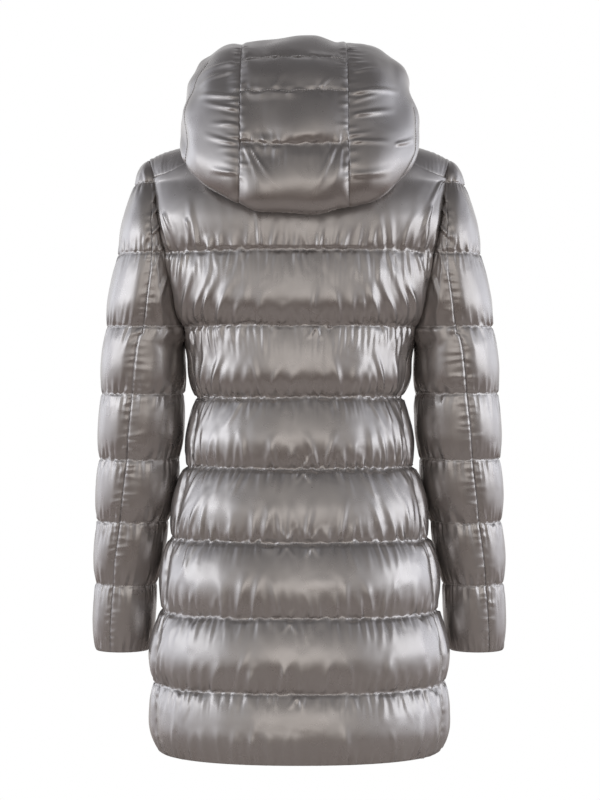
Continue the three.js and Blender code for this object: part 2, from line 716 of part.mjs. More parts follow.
function hoodOutward(row, share) {
  const small = 0.02;
  const vector = (r, s) => new THREE.Vector3(...hoodPoint(r, s));
  const down = vector(Math.min(row + small, HOOD_LAST_ROW + 1), share).sub(
    vector(Math.max(row - small, 0), share),
  );
  const round = vector(row, Math.min(share + small, 1)).sub(vector(row, Math.max(share - small, 0)));
  if (share < small) {
    round.set(1, 0, 0);
  }
  return down.cross(round).normalize();
}

function hoodPanel(rowNumbers, columns, shareAt, full, firstRowIn = 0) {
  return wall(rowNumbers.map((row) => {
    const points = [];
    for (let j = 0; j <= columns; j += 1) {
      const share = shareAt(row, j / columns);
      const point = new THREE.Vector3(...hoodPoint(row, Math.abs(share)));
      const outward = hoodOutward(row, Math.abs(share));
      if (row === rowNumbers[0]) {
        point.sub(new THREE.Vector3(point.x, point.y, 0).setLength(firstRowIn));
      }
      const place = (out) => {
        const moved = point.clone().addScaledVector(outward, out).toArray();
        return share < 0 ? mirrored(moved) : moved;
      };
      points.push(pair(place, HOOD_PUFF, full(row) * edgeFade((2 * j) / columns - 1)));
    }
    return points;
  }));
}

function hoodFullness(row) {
  const k = HOOD_LINES.findIndex((line, i) => row >= line && row < HOOD_LINES[i + 1]);
  return k < 0 ? 0 : fullness((row - HOOD_LINES[k]) / (HOOD_LINES[k + 1] - HOOD_LINES[k]));
}

const hoodCentre = () => hoodPanel(
  HOOD_ROWS,
  HOOD_COLUMNS,
  (row, f) => mix(-1, 1, f) * (hoodSeamShare(row) - HOOD_GAP),
  hoodFullness,
);
const hoodSide = () => hoodPanel(
  HOOD_ROWS,
  HOOD_COLUMNS,
  (row, f) => mix(hoodSeamShare(row) + HOOD_GAP, 1, f),
  hoodFullness,
);
// The neck band's columns are those of the three panels above it.
const hoodBand = () => hoodPanel(
  HOOD_BAND_ROWS,
  3 * HOOD_COLUMNS,
  (row, f) => {
    const seam = hoodSeamShare(row);
    const third = 3 * Math.abs(2 * f - 1);
    const share = third < 1 ? mix(0, seam, third) : mix(seam, 1, (third - 1) / 2);
    return f < 0.5 ? -share : share;
  },
  () => 0,
  4 * SEAM_GAP,
);

// ---- zip -----------------------------------------------------------------------------------
// The line of the zip up the front: the fronts' edges, then the collar's.
function zipLine() {
  const points = BODY_LINES.map((z) => bodyPoint(Math.max(z, ZIP_START_Z), QUARTER, ZIP_IN));
  RISE_ROWS.forEach((rise) => points.push(shoulderPoint(0, rise, false, ZIP_IN)));
  const [, y, z] = topCurve(0, false);
  COLLAR_ROWS.filter(({ height }) => height > 0.1).forEach(({ height }) => {
    points.push([0, y - SEAM_GAP - COLLAR_LEAN * height + ZIP_IN, z + COLLAR_HEIGHT * height]);
  });
  return points.map((point) => new THREE.Vector3(0, point[1], point[2]));
}

// The outward direction at each point of the zip's line.
const zipOutward = (line) => line.map((point, i) => {
  const along = line[Math.min(i + 1, line.length - 1)].clone().sub(line[Math.max(i - 1, 0)]);
  return new THREE.Vector3(0, along.z, -along.y).normalize();
});

// One side of the zip: a tape with its row of teeth as a bead along the middle line.
function zipSide() {
  const { gap, bead, edge, beadHalf, tapeHalf } = ZIP_SECTION;
  const profile = [
    [gap, -beadHalf],
    [bead, -beadHalf],
    [bead, -tapeHalf],
    [edge, -tapeHalf],
    [edge, tapeHalf],
    [bead, tapeHalf],
    [bead, beadHalf],
    [gap, beadHalf],
  ];
  const line = zipLine();
  const outward = zipOutward(line);
  const positions = [];
  line.forEach((point, i) => profile.forEach(([x, out]) => {
    positions.push(x, point.y + outward[i].y * out, point.z + outward[i].z * out);
  }));
  const count = profile.length;
  const faces = [];
  for (let i = 0; i < line.length - 1; i += 1) {
    for (let k = 0; k < count; k += 1) {
      const a = i * count + k;
      const b = i * count + ((k + 1) % count);
      faces.push([a, b, b + count], [a, b + count, a + count]);
    }
  }
  const cap = THREE.ShapeUtils.triangulateShape(profile.map(([x, y]) => new THREE.Vector2(x, y)), []);
  const end = (line.length - 1) * count;
  cap.forEach(([a, b, c]) => {
    faces.push([c, b, a], [a + end, b + end, c + end]);
  });
  return solid(positions, faces);
}

// A plate in the zip's own frame: its outline in two of the frame's directions, its thickness
// along the third. Across is x, out is away from the jacket, up is along the zip.
function outline(points) {
  return new THREE.Shape(points.map(([x, y]) => new THREE.Vector2(x, y)));
}

function extruded(shape, depth) {
  const geometry = new THREE.ExtrudeGeometry(shape, { depth, bevelEnabled: false });
  geometry.translate(0, 0, -depth / 2);
  return geometry;
}

// Shapes drawn in (out, up) and made thick across.
function acrossPlate(points, width) {
  const geometry = extruded(outline(points), width);
  geometry.applyMatrix4(new THREE.Matrix4().set(0, 0, 1, 0, 1, 0, 0, 0, 0, 1, 0, 0, 0, 0, 0, 1));
  return geometry;
}

function asManifold(geometry) {
  const bare = geometry.clone();
  bare.deleteAttribute('normal');
  bare.deleteAttribute('uv');
  const merged = mergeVertices(bare);
  return new wasm.Manifold(new wasm.Mesh({
    numProp: 3,
    vertProperties: merged.getAttribute('position').array,
    triVerts: Uint32Array.from(merged.getIndex().array),
  }));
}

function fromManifold(manifold) {
  const mesh = manifold.getMesh();
  return solid([...mesh.vertProperties], chunk([...mesh.triVerts]));
}

function chunk(numbers) {
  const groups = [];
  for (let k = 0; k < numbers.length; k += 3) {
    groups.push(numbers.slice(k, k + 3));
  }
  return groups;
}

// The slider: two plates joined above the last teeth, and a bridge on the front one.
function zipSlider() {
  const s = SLIDER;
  const body = acrossPlate([
    [-s.plateOut, s.top],
    [-s.plateOut, s.bottom],
    [-s.mouth, s.bottom],
    [-s.mouth, s.post],
    [s.mouth, s.post],
    [s.mouth, s.bottom],
    [s.plateOut, s.bottom],
    [s.plateOut, s.top],
  ], s.width);
  const b = BRIDGE;
  const bridge = acrossPlate([
    [s.plateOut - 0.4, b.bottom],
    [b.out - b.corner, b.bottom],
    [b.out, b.bottom + b.corner],
    [b.out, b.top - b.corner],
    [b.out - b.corner, b.top],
    [s.plateOut - 0.4, b.top],
    [s.plateOut - 0.4, b.top - b.leg],
    [b.out - b.leg, b.top - b.leg],
    [b.out - b.leg, b.bottom + b.leg],
    [s.plateOut - 0.4, b.bottom + b.leg],
  ], b.width);
  return fromManifold(asManifold(body).add(asManifold(bridge)));
}

// The pull tab, drawn around its own pivot: it hangs from the bridge by the bar above its eye.
function pullTab() {
  const t = TAB;
  const shape = outline([
    [-t.half, t.bar],
    [-t.half, -t.length + t.half],
    [-t.half * 0.7, -t.length + t.half * 0.3],
    [0, -t.length],
    [t.half * 0.7, -t.length + t.half * 0.3],
    [t.half, -t.length + t.half],
    [t.half, t.bar],
  ]);
  const eye = [
    [-t.eye, -t.bar],
    [-t.eye, -t.eyeLength],
    [t.eye, -t.eyeLength],
    [t.eye, -t.bar],
  ];
  shape.holes.push(new THREE.Path(eye.map(([x, y]) => new THREE.Vector2(x, y))));
  const geometry = extruded(shape, 2 * t.bar);
  geometry.applyMatrix4(new THREE.Matrix4().set(1, 0, 0, 0, 0, 0, 1, 0, 0, 1, 0, 0, 0, 0, 0, 1));
  return flippedFaces(geometry);
}

// ---- the object ----------------------------------------------------------------------------
const jacket = new THREE.Group();
function add(name, geometry, look, parent = jacket) {
  const mesh = new THREE.Mesh(geometry, new THREE.MeshStandardMaterial(look));
  mesh.name = name;
  parent.add(mesh);
  return mesh;
}

// The faces turned over, for a geometry that a mirror has turned inside out.
function flippedFaces(geometry) {
  const whole = geometry.getIndex() ? geometry : mergeVertices(geometry);
  const index = whole.getIndex().array;
  for (let k = 0; k < index.length; k += 3) {
    [index[k], index[k + 1]] = [index[k + 1], index[k]];
  }
  whole.computeVertexNormals();
  return whole;
}

const leftOf = (geometry) => flippedFaces(geometry.clone().scale(-1, 1, 1));

add('back', back(), SHELL);
add('collar', collar(), SHELL);
add('hood_centre', hoodCentre(), SHELL);
add('hood_band', hoodBand(), SHELL);
const pairs = {
  front: [front(), SHELL],
  sleeve_upper: [sleeveUpper(), SHELL],
  sleeve_under: [sleeveUnder(), SHELL],
  hood_side: [hoodSide(), SHELL],
  zip_tape: [zipSide(), TAPE],
};
Object.entries(pairs).forEach(([name, [geometry, look]]) => {
  add(`${name}_right`, geometry, look);
  add(`${name}_left`, leftOf(geometry), look);
});

// The zip's hard parts sit on its line: the slider at the top, the box at the hem.
const zipPoints = zipLine();
const zipDirections = zipOutward(zipPoints);
function zipFrame(i) {
  const frame = new THREE.Group();
  const out = zipDirections[i];
  frame.position.copy(zipPoints[i]);
  frame.rotation.x = Math.atan2(out.z, out.y);
  jacket.add(frame);
  return frame;
}
const topFrame = zipFrame(zipPoints.length - 1);
add('zip_slider', zipSlider(), METAL, topFrame);
const tab = add('zip_pull_tab', pullTab(), METAL, topFrame);
tab.position.set(0, TAB.out, TAB.up);
tab.rotation.x = -topFrame.rotation.x; // it hangs plumb
const box = add('zip_box', new THREE.BoxGeometry(...ZIP_BOX), METAL, zipFrame(0));
box.position.set(0, 0, -ZIP_BOX[2] / 2 - SEAM_GAP);

export default jacket;
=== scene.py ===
"""A women's hooded down jacket, filled out as it is worn, with nobody in it.

Each panel is a fine grid of cloth over the jacket's own sections. Its stitch lines are held, the
cloth between them is cut longer and wider than the lines, and a short simulation of cloth under
pressure puffs it up and gathers it. Lengths are in millimetres until a mesh is made.
+X is the wearer's right, +Y the front, +Z up.
"""

import math

import bpy
import numpy as np
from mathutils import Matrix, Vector


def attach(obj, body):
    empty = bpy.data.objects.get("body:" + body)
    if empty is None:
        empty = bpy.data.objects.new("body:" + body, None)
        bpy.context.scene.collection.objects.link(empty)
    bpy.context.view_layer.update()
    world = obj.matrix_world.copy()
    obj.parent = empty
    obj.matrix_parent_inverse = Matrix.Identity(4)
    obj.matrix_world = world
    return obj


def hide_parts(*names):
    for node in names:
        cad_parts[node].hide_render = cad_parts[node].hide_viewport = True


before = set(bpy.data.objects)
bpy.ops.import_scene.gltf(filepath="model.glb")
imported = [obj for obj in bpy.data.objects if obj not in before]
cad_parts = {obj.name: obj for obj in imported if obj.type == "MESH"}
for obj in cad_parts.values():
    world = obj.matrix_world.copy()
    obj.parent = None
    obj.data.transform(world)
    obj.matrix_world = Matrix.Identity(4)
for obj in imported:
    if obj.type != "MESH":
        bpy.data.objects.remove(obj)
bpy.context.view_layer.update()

QUARTER = math.pi / 2

# ---- driving sizes -------------------------------------------------------------------------
CLOTH = 2.0  # how far a panel's inner cloth lies under its stitch lines
SQUARE = 2.25  # the exponent of the sections' ovals: 2 is an ellipse, more is squarer
# The heights of the stitch lines, from the hem and from the cuff up.
BODY_LINES = [-775, -686, -594, -501, -409, -319, -228, -135, -45]
SLEEVE_LINES = [-652, -563, -481, -399, -314, -228, -135, -45]
SHOULDER_Z = BODY_LINES[-1]
CELL = 2.3  # about the size of one cell of cloth; counts of cells are multiples of 4
CELLS = 40  # rows of cloth cells between two stitch lines
ARM_LINE, SLEEVE_ARM_LINE = 6, 5  # the line just above the armhole's bottom, in those two lists
UNDERARM_CELLS = 4  # rows of cells from the armhole's bottom to that line
BACK_CELLS = 176
SIDE_CELLS, FRONT_CELLS = 44, 88  # across a front: from the side seam to the armhole, and to the zip
YOKE_CELLS = 24  # rows from the back's top line, or from a front's ridge, to the seam between them
RIDGE_CELLS = 28  # rows of a front from its top line to the ridge
ZIP_HALF_GAP = 7.0
COLLAR_HEIGHT = 62.0
SEAM_GAP = 0.3


def table(columns, rows):
    """Rows of numbers, ordered by their first column, read on curves that never overshoot."""
    data = np.array(sorted(rows), float)
    step = np.diff(data[:, :1], axis=0)
    rise = np.diff(data, axis=0) / step
    slope = np.zeros_like(data)
    slope[0], slope[-1] = rise[0], rise[-1]
    a, b = rise[:-1], rise[1:]
    with np.errstate(divide="ignore", invalid="ignore"):
        slope[1:-1] = np.where(a * b <= 0, 0, 2 * a * b / (a + b))
    return {"columns": columns.split(), "data": data, "slope": slope}


def read(source, at):
    data, slope = source["data"], source["slope"]
    at = np.clip(np.asarray(at, float), data[0, 0], data[-1, 0])
    k = np.clip(np.searchsorted(data[:, 0], at, side="right") - 1, 0, len(data) - 2)
    step = data[k + 1, 0] - data[k, 0]
    f = (at - data[k, 0]) / step
    found = {}
    for c, name in enumerate(source["columns"]):
        found[name] = (
            (1 + 2 * f) * (1 - f) ** 2 * data[k, c]
            + f * (1 - f) ** 2 * step * slope[k, c]
            + f * f * (3 - 2 * f) * data[k + 1, c]
            + f * f * (f - 1) * step * slope[k + 1, c]
        )
    return found


# Half width, depth behind and in front, and how far behind the middle the side seam lies.
BODY = table("z side back front seamBack", [
    [-775, 181, 136, 126, 46],
    [-686, 186, 139, 130, 46],
    [-594, 176, 134, 130, 44],
    [-501, 164, 121, 125, 42],
    [-409, 144, 105, 116, 40],
    [-319, 131, 99, 110, 36],
    [-270, 136, 104, 116, 30],
    [-236, 149, 109, 121, 24],
    [-190, 166, 114, 121, 24],
    [-135, 191, 118, 114, 24],
    [-105, 198, 115, 106, 24],
    [-75, 199, 108, 96, 24],
    [-45, 197, 95, 84, 24],
])
# How far out the armhole's edges are.
ARMHOLE = table("z backX frontX", [
    [-241, 147, 147],
    [-190, 157, 153],
    [-135, 171, 162],
    [-105, 176.5, 168],
    [-75, 181.5, 176],
    [-45, 187, 185],
])
SHOULDER_TIP = (196, 2, -12)
NECK_POINT = (76, -10, 18)
NECK_BACK = (0, -62, 0)
NECK_FRONT = (0, 76, -36)
NECK_SHARE = 3 / 7  # how much of half the top curve is neckline; the rest is the ridge
RIDGE_CROWN = 3
FRONT_NECK_POWER = 2.2
# The seam between back and fronts: where it meets the top curve, and how high up to it.
SHOULDER_SEAM = table("column share height", [
    [0, 0, 1],
    [1 / 7, 1 / 7, 1],
    [2 / 7, 2 / 7, 1],
    [3 / 7, 2.5 / 7, 1],
    [4 / 7, 4 / 7, 0.52],
    [5 / 7, 5 / 7, 0.24],
    [6 / 7, 6 / 7, 0.16],
    [1, 1, 0.14],
])
# Outermost x, middle y, half width and depth, and where three seams are round it, in degrees.
SLEEVE = table("z outX y wide deep elbow corner frontSeam", [
    [-652, 267, 50, 33, 36, 66, 130, 228],
    [-563, 265.5, 41, 37, 42, 69, 132, 228],
    [-481, 262, 31, 43.5, 47, 72, 134, 226],
    [-399, 259, 20, 49.5, 51, 75, 136, 222],
    [-314, 255, 10, 50.5, 54, 79, 144, 214],
    [-254, 250.5, 4, 48, 56, 84, 155, 206],
    [-228, 247.5, 2, 49, 57, 86, 156, 204],
    [-190, 242, 0, 49, 61, 88, 150, 210],
    [-135, 232, 0, 49, 66, 92, 130, 230],
    [-105, 226, 0, 45, 64.5, 94, 120, 240],
    [-72, 218, 0, 38, 56, 99, 110, 250],
    [-45, 211, 0, 24, 38, 100, 110, 250],
])
# Rows from the face (0) over the crown to the lower rim (8): middle line, widest place and edge.
HOOD = table("row backY backZ wideX wideY wideZ edgeX edgeY edgeZ", [
    [0, 18, 134, 92, 22, 125, 88, 28, 125],
    [1, -26, 136, 110, 4, 115, 100, 34, 114],
    [2, -70, 124, 125, -14, 101, 108, 37, 97],
    [3, -108, 102, 134, -32, 84, 111, 39, 78],
    [4, -146, 57, 139, -46, 60, 109, 40, 60],
    [5, -168, -10, 143, -56, 30, 104, 40, 46],
    [6, -174, -50, 144, -60, 15, 99, 39, 38],
    [7, -164, -84, 142, -61, 10, 95, 38, 33],
    [8, -148, -92, 132, -57, 14, 90, 37, 30],
])
HOOD_LINES = [8, 5, 4, 3, 0]  # its stitch lines, from the lower rim up, as rows of that table
HOOD_CELLS = [52, 32, 28, 60]  # rows of cloth cells between them
HOOD_CENTRE_HALF = 66
HOOD_TWIST = 6.5  # how far the centre panel sits to the left
HOOD_WIDEST = 0.62
HOOD_NECK_END = 0.3


def mix(a, b, f):
    return a + (b - a) * f


def from_ends(count):
    """How many steps each of a row of points is from the nearer end of the row."""
    place = np.arange(count)
    return np.minimum(place, count - 1 - place)


def smooth_step(f):
    return f * f * (3 - 2 * f)


def point(x, y, z):
    return np.stack(np.broadcast_arrays(x, y, z), axis=-1).astype(float)


def power(value, exponent):
    return np.sign(value) * np.abs(value) ** exponent


# ---- the jacket's sections -----------------------------------------------------------------
def turn_at(x, side):
    return np.arccos(np.minimum(1, (x / side) ** (SQUARE / 2)))


def body_point(z, turn, out=0.0):
    section = read(BODY, z)
    depth = np.where(turn < 0, section["back"], section["front"]) + out
    return point(
        (section["side"] + out) * power(np.cos(turn), 2 / SQUARE),
        depth * power(np.sin(turn), 2 / SQUARE),
        z,
    )


def side_seam_turn(z):
    section = read(BODY, z)
    return -np.arcsin((section["seamBack"] / section["back"]) ** (SQUARE / 2))


UNDERARM_Z = mix(BODY_LINES[ARM_LINE], BODY_LINES[ARM_LINE - 1], UNDERARM_CELLS / CELLS)


def back_edge_turn(z):
    armhole = -turn_at(read(ARMHOLE, z)["backX"], read(BODY, z)["side"])
    return np.where(z <= UNDERARM_Z, side_seam_turn(z), armhole)


def front_edge_turn(z):
    return turn_at(read(ARMHOLE, z)["frontX"], read(BODY, z)["side"])


def top_curve(share, at_back, out=0.0):
    """Half the neckline and the shoulder's ridge, from the middle line (0) to the tip (1)."""
    share = np.asarray(share, float)
    f = np.clip((share - NECK_SHARE) / (1 - NECK_SHARE), 0, 1)
    ridge = [mix(a, b, f) for a, b in zip(NECK_POINT, SHOULDER_TIP)]
    ridge[2] = ridge[2] + RIDGE_CROWN * np.sin(math.pi * f)
    t = np.clip(share / NECK_SHARE, 0, 1) * QUARTER
    start = NECK_BACK if at_back else NECK_FRONT
    climb = np.sin(t) if at_back else 1 - np.cos(t) ** FRONT_NECK_POWER
    neck = [
        NECK_POINT[0] * np.sin(t),
        mix(NECK_POINT[1], start[1], np.cos(t)),
        mix(start[2], NECK_POINT[2], climb),
    ]
    on_ridge = share > NECK_SHARE
    x, y, z = (np.where(on_ridge, a, b) for a, b in zip(ridge, neck))
    return point(x, y, z + out)


def shoulder_point(share, height, at_back, out=0.0):
    """The body above the yoke line: height 0 is that line, 1 the ridge or the neckline."""
    edge = -back_edge_turn(SHOULDER_Z) if at_back else front_edge_turn(SHOULDER_Z)
    turn = QUARTER - share * (QUARTER - edge)
    low = body_point(SHOULDER_Z, -turn if at_back else turn, out)
    high = top_curve(share, at_back, out)
    f = height * QUARTER
    return point(
        mix(low[..., 0], high[..., 0], height),
        mix(high[..., 1], low[..., 1], np.cos(f)),
        mix(low[..., 2], high[..., 2], np.sin(f)),
    )


def line_rows(lines, counts):
    """The places of all rows of cloth points, with counts cells from each line to the next."""
    spans = zip(lines, lines[1:], counts)
    return np.array([mix(a, b, k / n) for a, b, n in spans for k in range(n)] + [lines[-1]], float)


FULLEST, FULLEST_RANGE = 0.57, (0.44, 0.66)  # where below its upper line a channel is fullest
LEAN_SHIFT = 0.7  # how much that moves with the lean of the wall


def fullness(f, fullest=FULLEST):
    """How full a channel is at a share of its height below its upper line: steep at the top,
    flat down its face, and rolling under towards its lower line."""
    f = np.clip(f, 0, 1)
    wave = np.sin(math.pi * f ** (math.log(0.5) / math.log(fullest))).clip(0)
    return wave ** mix(0.5, 0.95, np.clip((f - 0.35) / 0.3, 0, 1))


def hanging(low, high):
    """Where a channel of the body is fullest, so that its face hangs upright on a leaning wall."""
    lean = (read(BODY, low)["back"] - read(BODY, high)["back"]) / (high - low)
    return float(np.clip(FULLEST - LEAN_SHIFT * lean, *FULLEST_RANGE))


def even(places):
    """The same rows of points, spaced evenly along each row."""
    found = np.empty_like(places)
    for i, row in enumerate(places):
        length = np.concatenate([[0], np.cumsum(gap(row[1:], row[:-1]))])
        at = np.linspace(0, length[-1], len(row))
        for k in range(3):
            found[i, :, k] = np.interp(at, length, row[:, k])
    return found


# ---- noise ---------------------------------------------------------------------------------
NOISE_SPREAD = 0.48  # of the lumps' sum, which is brought to about 1


def spline(cells, scale, count, start):
    """For each of a row of cells, which lump it lies by and how much it takes of the four about it."""
    at = np.arange(cells) / scale + 1 + start
    k = np.clip(at.astype(int), 1, count - 3)
    f = at - k
    return k, [
        (1 - f) ** 3 / 6,
        (3 * f**3 - 6 * f**2 + 4) / 6,
        (-3 * f**3 + 3 * f**2 + 3 * f + 1) / 6,
        f**3 / 6,
    ]


def smooth_noise(shape, scale, seed):
    """Smooth random numbers, about -1 to 1, whose lumps are scale (up, across) mm long."""
    rng = np.random.default_rng(seed)
    scale = [size / CELL for size in scale]
    counts = [max(2, int(math.ceil(n / s)) + 4) for n, s in zip(shape, scale)]
    lumps = rng.standard_normal(counts)
    offset = rng.random(2)
    (ki, wi), (kj, wj) = (spline(*each) for each in zip(shape, scale, counts, offset))
    found = np.zeros(shape)
    for a, b in np.ndindex(4, 4):
        found += wi[a][:, None] * wj[b][None, :] * lumps[ki + a - 1][:, kj + b - 1]
    return found / NOISE_SPREAD


# ---- cloth ---------------------------------------------------------------------------------
def grid_normals(places):
    across = np.empty_like(places)
    across[:, 1:-1] = places[:, 2:] - places[:, :-2]
    across[:, 0] = places[:, 1] - places[:, 0]
    across[:, -1] = places[:, -1] - places[:, -2]
    up = np.empty_like(places)
    up[1:-1] = places[2:] - places[:-2]
    up[0] = places[1] - places[0]
    up[-1] = places[-1] - places[-2]
    normal = np.cross(across, up)
    length = np.sqrt((normal**2).sum(-1, keepdims=True))
    return normal / np.maximum(length, 1e-9)


def gap(a, b):
    return np.sqrt(((a - b) ** 2).sum(-1))


def pull(places, free, first, second, rest, stiff, push_only=False):
    """Moves pairs of points towards their rest length."""
    wa, wb = free[first], free[second]
    d = places[second] - places[first]
    length = np.sqrt(np.einsum("ijk,ijk->ij", d, d)) + 1e-9
    error = (length - rest) / length
    if push_only:
        np.minimum(error, 0, out=error)
    d *= (error * stiff / (wa + wb + 1e-9))[..., None]
    places[first] += d * wa[..., None]
    places[second] -= d * wb[..., None]


def pairs(first, last, apart, step):
    """Two slices that pair points first, first + step and so on with the points apart beyond."""
    reach = step * len(range(first, last - apart, step))
    return slice(first, first + reach, step), slice(first + apart, first + apart + reach, step)


def make_links(across, up, leaning, cells):
    """All the links of a grid in batches that share no point: slices, rest lengths, stiffness."""
    live = cells.astype(np.float32)
    rows, columns = across.shape[0], up.shape[1]
    tall, wide = np.pad(live, ((1, 1), (0, 0))), np.pad(live, ((0, 0), (1, 1)))
    on_across, on_up = np.maximum(tall[1:], tall[:-1]), np.maximum(wide[:, 1:], wide[:, :-1])
    square = ((across[:-1] + across[1:]) / 2) ** 2 + ((up[:, :-1] + up[:, 1:]) / 2) ** 2
    rising, falling = np.sqrt(square * (1 + leaning)), np.sqrt(square * (1 - leaning))
    every, left, right = slice(None), slice(0, columns - 1), slice(1, columns)
    batches = []

    def batch(first, second, rest, stiff, push_only=False):
        batches.append((first, second, rest.astype(np.float32), stiff.astype(np.float32), push_only))

    for s in (0, 1):
        a, b = pairs(s, columns, 1, 2)
        batch((every, a), (every, b), across[:, s::2], on_across[:, s::2])
        a, b = pairs(s, rows, 1, 2)
        batch((a, every), (b, every), up[s::2], on_up[s::2])
        batch((a, left), (b, right), rising[s::2], live[s::2] * SHEAR)
        batch((a, right), (b, left), falling[s::2], live[s::2] * SHEAR)
    double_across, bend_across = across[:, :-1] + across[:, 1:], on_across[:, :-1] * on_across[:, 1:]
    double_up, bend_up = up[:-1] + up[1:], on_up[:-1] * on_up[1:]
    for s in range(4):
        a, b = pairs(s, columns, 2, 4)
        batch((every, a), (every, b), double_across[:, s::4] * FLAT, bend_across[:, s::4] * BEND, True)
        a, b = pairs(s, rows, 2, 4)
        batch((a, every), (b, every), double_up[s::4] * FLAT, bend_up[s::4] * BEND, True)
    return batches


SHEAR, BEND = 0.25, 0.1  # how stiff the diagonal links are, and those that keep the cloth from folding
FLAT = 0.99  # how short a bending link may get before it pushes
PUSH = 0.014  # how hard the down pushes where the cloth lies under it, mm per step
SOFT = 3.0  # mm over which that push fades
BACK_PUSH = -0.6  # how much of it there is the other way, where the cloth lies too far out
DEEPEST = -1  # mm that the cloth may sink below its stitch lines
WEIGHT = 0.0006
KEEP_SPEED = 0.94
GROWTH, MOST_GROWTH = 0.85, 1.14  # how much of its growth a channel gets, and the most it gets
RIPPLE = 0.5  # mm of unevenness that the cloth starts with
COARSE_STEPS, FINE_STEPS = 320, 160
STEADY_PASSES = 8


def relax(places, base, normals, target, free, batches, steps):
    """Cloth over down: held at its stitches, pushed out to where the down fills it, and hanging."""
    given = (places, base, normals, target, free)
    places, base, normals, target, free = (values.astype(np.float32) for values in given)
    speed = np.zeros_like(places)
    for _ in range(steps):
        before = places.copy()
        depth = ((places - base) * normals).sum(-1)
        push = np.clip((target - depth) / SOFT, BACK_PUSH, 1) * PUSH
        speed *= KEEP_SPEED
        speed += push[..., None] * grid_normals(places)
        speed[..., 2] -= WEIGHT
        places += speed * free[..., None]
        for batch in batches:
            pull(places, free, *batch)
        depth = ((places - base) * normals).sum(-1)
        places += (np.maximum(DEEPEST - depth, 0) * free)[..., None] * normals
        speed = places - before
    return places.astype(float)


def finer(coarse, shape):
    """A grid of moves read at twice as many rows and columns."""
    rows = np.linspace(0, coarse.shape[0] - 1, shape[0])
    i = np.minimum(rows.astype(int), coarse.shape[0] - 2)
    f = (rows - i)[:, None, None]
    tall = coarse[i] * (1 - f) + coarse[i + 1] * f
    columns = np.linspace(0, coarse.shape[1] - 1, shape[1])
    j = np.minimum(columns.astype(int), coarse.shape[1] - 2)
    g = (columns - j)[None, :, None]
    return tall[:, j] * (1 - g) + tall[:, j + 1] * g


def channel_growth(base, out, lines):
    """How much wider each channel's cloth is than its stitch lines: as wide as its fullest row."""
    normals = grid_normals(base)
    swollen = base + normals * out.max(axis=1)[:, None, None]
    narrow = gap(base[:, 1:], base[:, :-1])
    wide = gap(swollen[:, 1:], swollen[:, :-1])
    grown = np.maximum(wide / np.maximum(narrow, 1e-6), 1)
    grown = np.concatenate([grown[:, :1], (grown[:, 1:] + grown[:, :-1]) / 2, grown[:, -1:]], axis=1)
    ratio = np.ones(base.shape[:2])
    for low, high in zip(lines[:-1], lines[1:]):
        middle = slice(low + (high - low) // 3, high - (high - low) // 3 + 1)
        ratio[low : high + 1] = 1 + GROWTH * (grown[middle].mean(axis=0).clip(1, MOST_GROWTH) - 1)
    return ratio


def cell_lean(places):
    """How far each cell leans: the difference of its diagonals' squares as a share of their sum."""
    rising = gap(places[1:, 1:], places[:-1, :-1]) ** 2
    falling = gap(places[1:, :-1], places[:-1, 1:]) ** 2
    return np.clip((rising - falling) / (rising + falling + 1e-9), -0.9, 0.9)


def steady(places, held):
    """Takes out small ripples that run across a panel, and keeps the gathers that run up it."""
    near = held.copy()
    for _ in range(2):
        near[1:] |= near[:-1].copy()
        near[:-1] |= near[1:].copy()
    for _ in range(STEADY_PASSES):
        middle = (places[:-2] + 2 * places[1:-1] + places[2:]) / 4
        places[1:-1] = np.where(near[1:-1, :, None], places[1:-1], middle)
    return places


def corners_of(cells):
    """The points that belong to a cell of cloth."""
    around = np.pad(cells, 1)
    return around[1:, 1:] | around[:-1, 1:] | around[1:, :-1] | around[:-1, :-1]


def puff(base, out, held, cells, lines, slack_x, slack_y, seed):
    """Simulates one panel. base is where its stitch lines lie, out how far the down fills it,
    held the points that don't move, cells which grid cells are cloth, lines its stitched rows."""
    normals = grid_normals(base)
    surface = base + normals * out[..., None]
    shape = base.shape[:2]
    free = np.where(held | ~corners_of(cells), 0.0, 1.0)
    uneven = smooth_noise(shape, (30, 7), seed) + smooth_noise(shape, (45, 22), seed + 1)
    start = surface + normals * (uneven * RIPPLE * free)[..., None]
    growth = channel_growth(base, out, lines)
    rest_x = gap(base[:, 1:], base[:, :-1]) * ((growth * (1 + slack_x))[:, 1:])
    rest_y = gap(surface[1:], surface[:-1]) * (1 + slack_y)[1:]
    half = (slice(None, None, 2), slice(None, None, 2))
    rough_x = (rest_x[:, ::2] + rest_x[:, 1::2])[::2]
    rough_y = (rest_y[::2] + rest_y[1::2])[:, ::2]
    links = make_links(rough_x, rough_y, cell_lean(surface[half]), cells[::2, ::2])
    rough = relax(start[half], base[half], normals[half], out[half], free[half], links, COARSE_STEPS)
    begin = start + finer(rough - start[half], shape) * free[..., None]
    links = make_links(rest_x, rest_y, cell_lean(surface), cells)
    return steady(relax(begin, base, normals, out, free, links, FINE_STEPS), held)


# ---- gathers and folds ---------------------------------------------------------------------
def fold_shape(u, d):
    """A fold's height: u is how far across it, in half widths, and d how far along it, 0 to 1."""
    swell = np.clip(d / 0.12, 0, 1) * np.clip(1 - d, 0, 1) ** 1.2
    return swell * (1 - 1.4 * u * u) * np.exp(-1.5 * u * u)


# Gathers above and below a panel's stitch lines: spacing, length and rise, each of the last two in
# the middle of the line and what is added at its ends.
GATHERS = {
    "back": [(14, (40, 12), (3.3, 0.5)), (12, (24, 26), (1.7, 0.9))],
    "front": [(15, (30, 10), (1.7, 0.6)), (11, (20, 14), (1.0, 0.6))],
    "sleeve": [(13, (26, 0), (1.5, 0)), (11, (20, 0), (1.2, 0))],
}
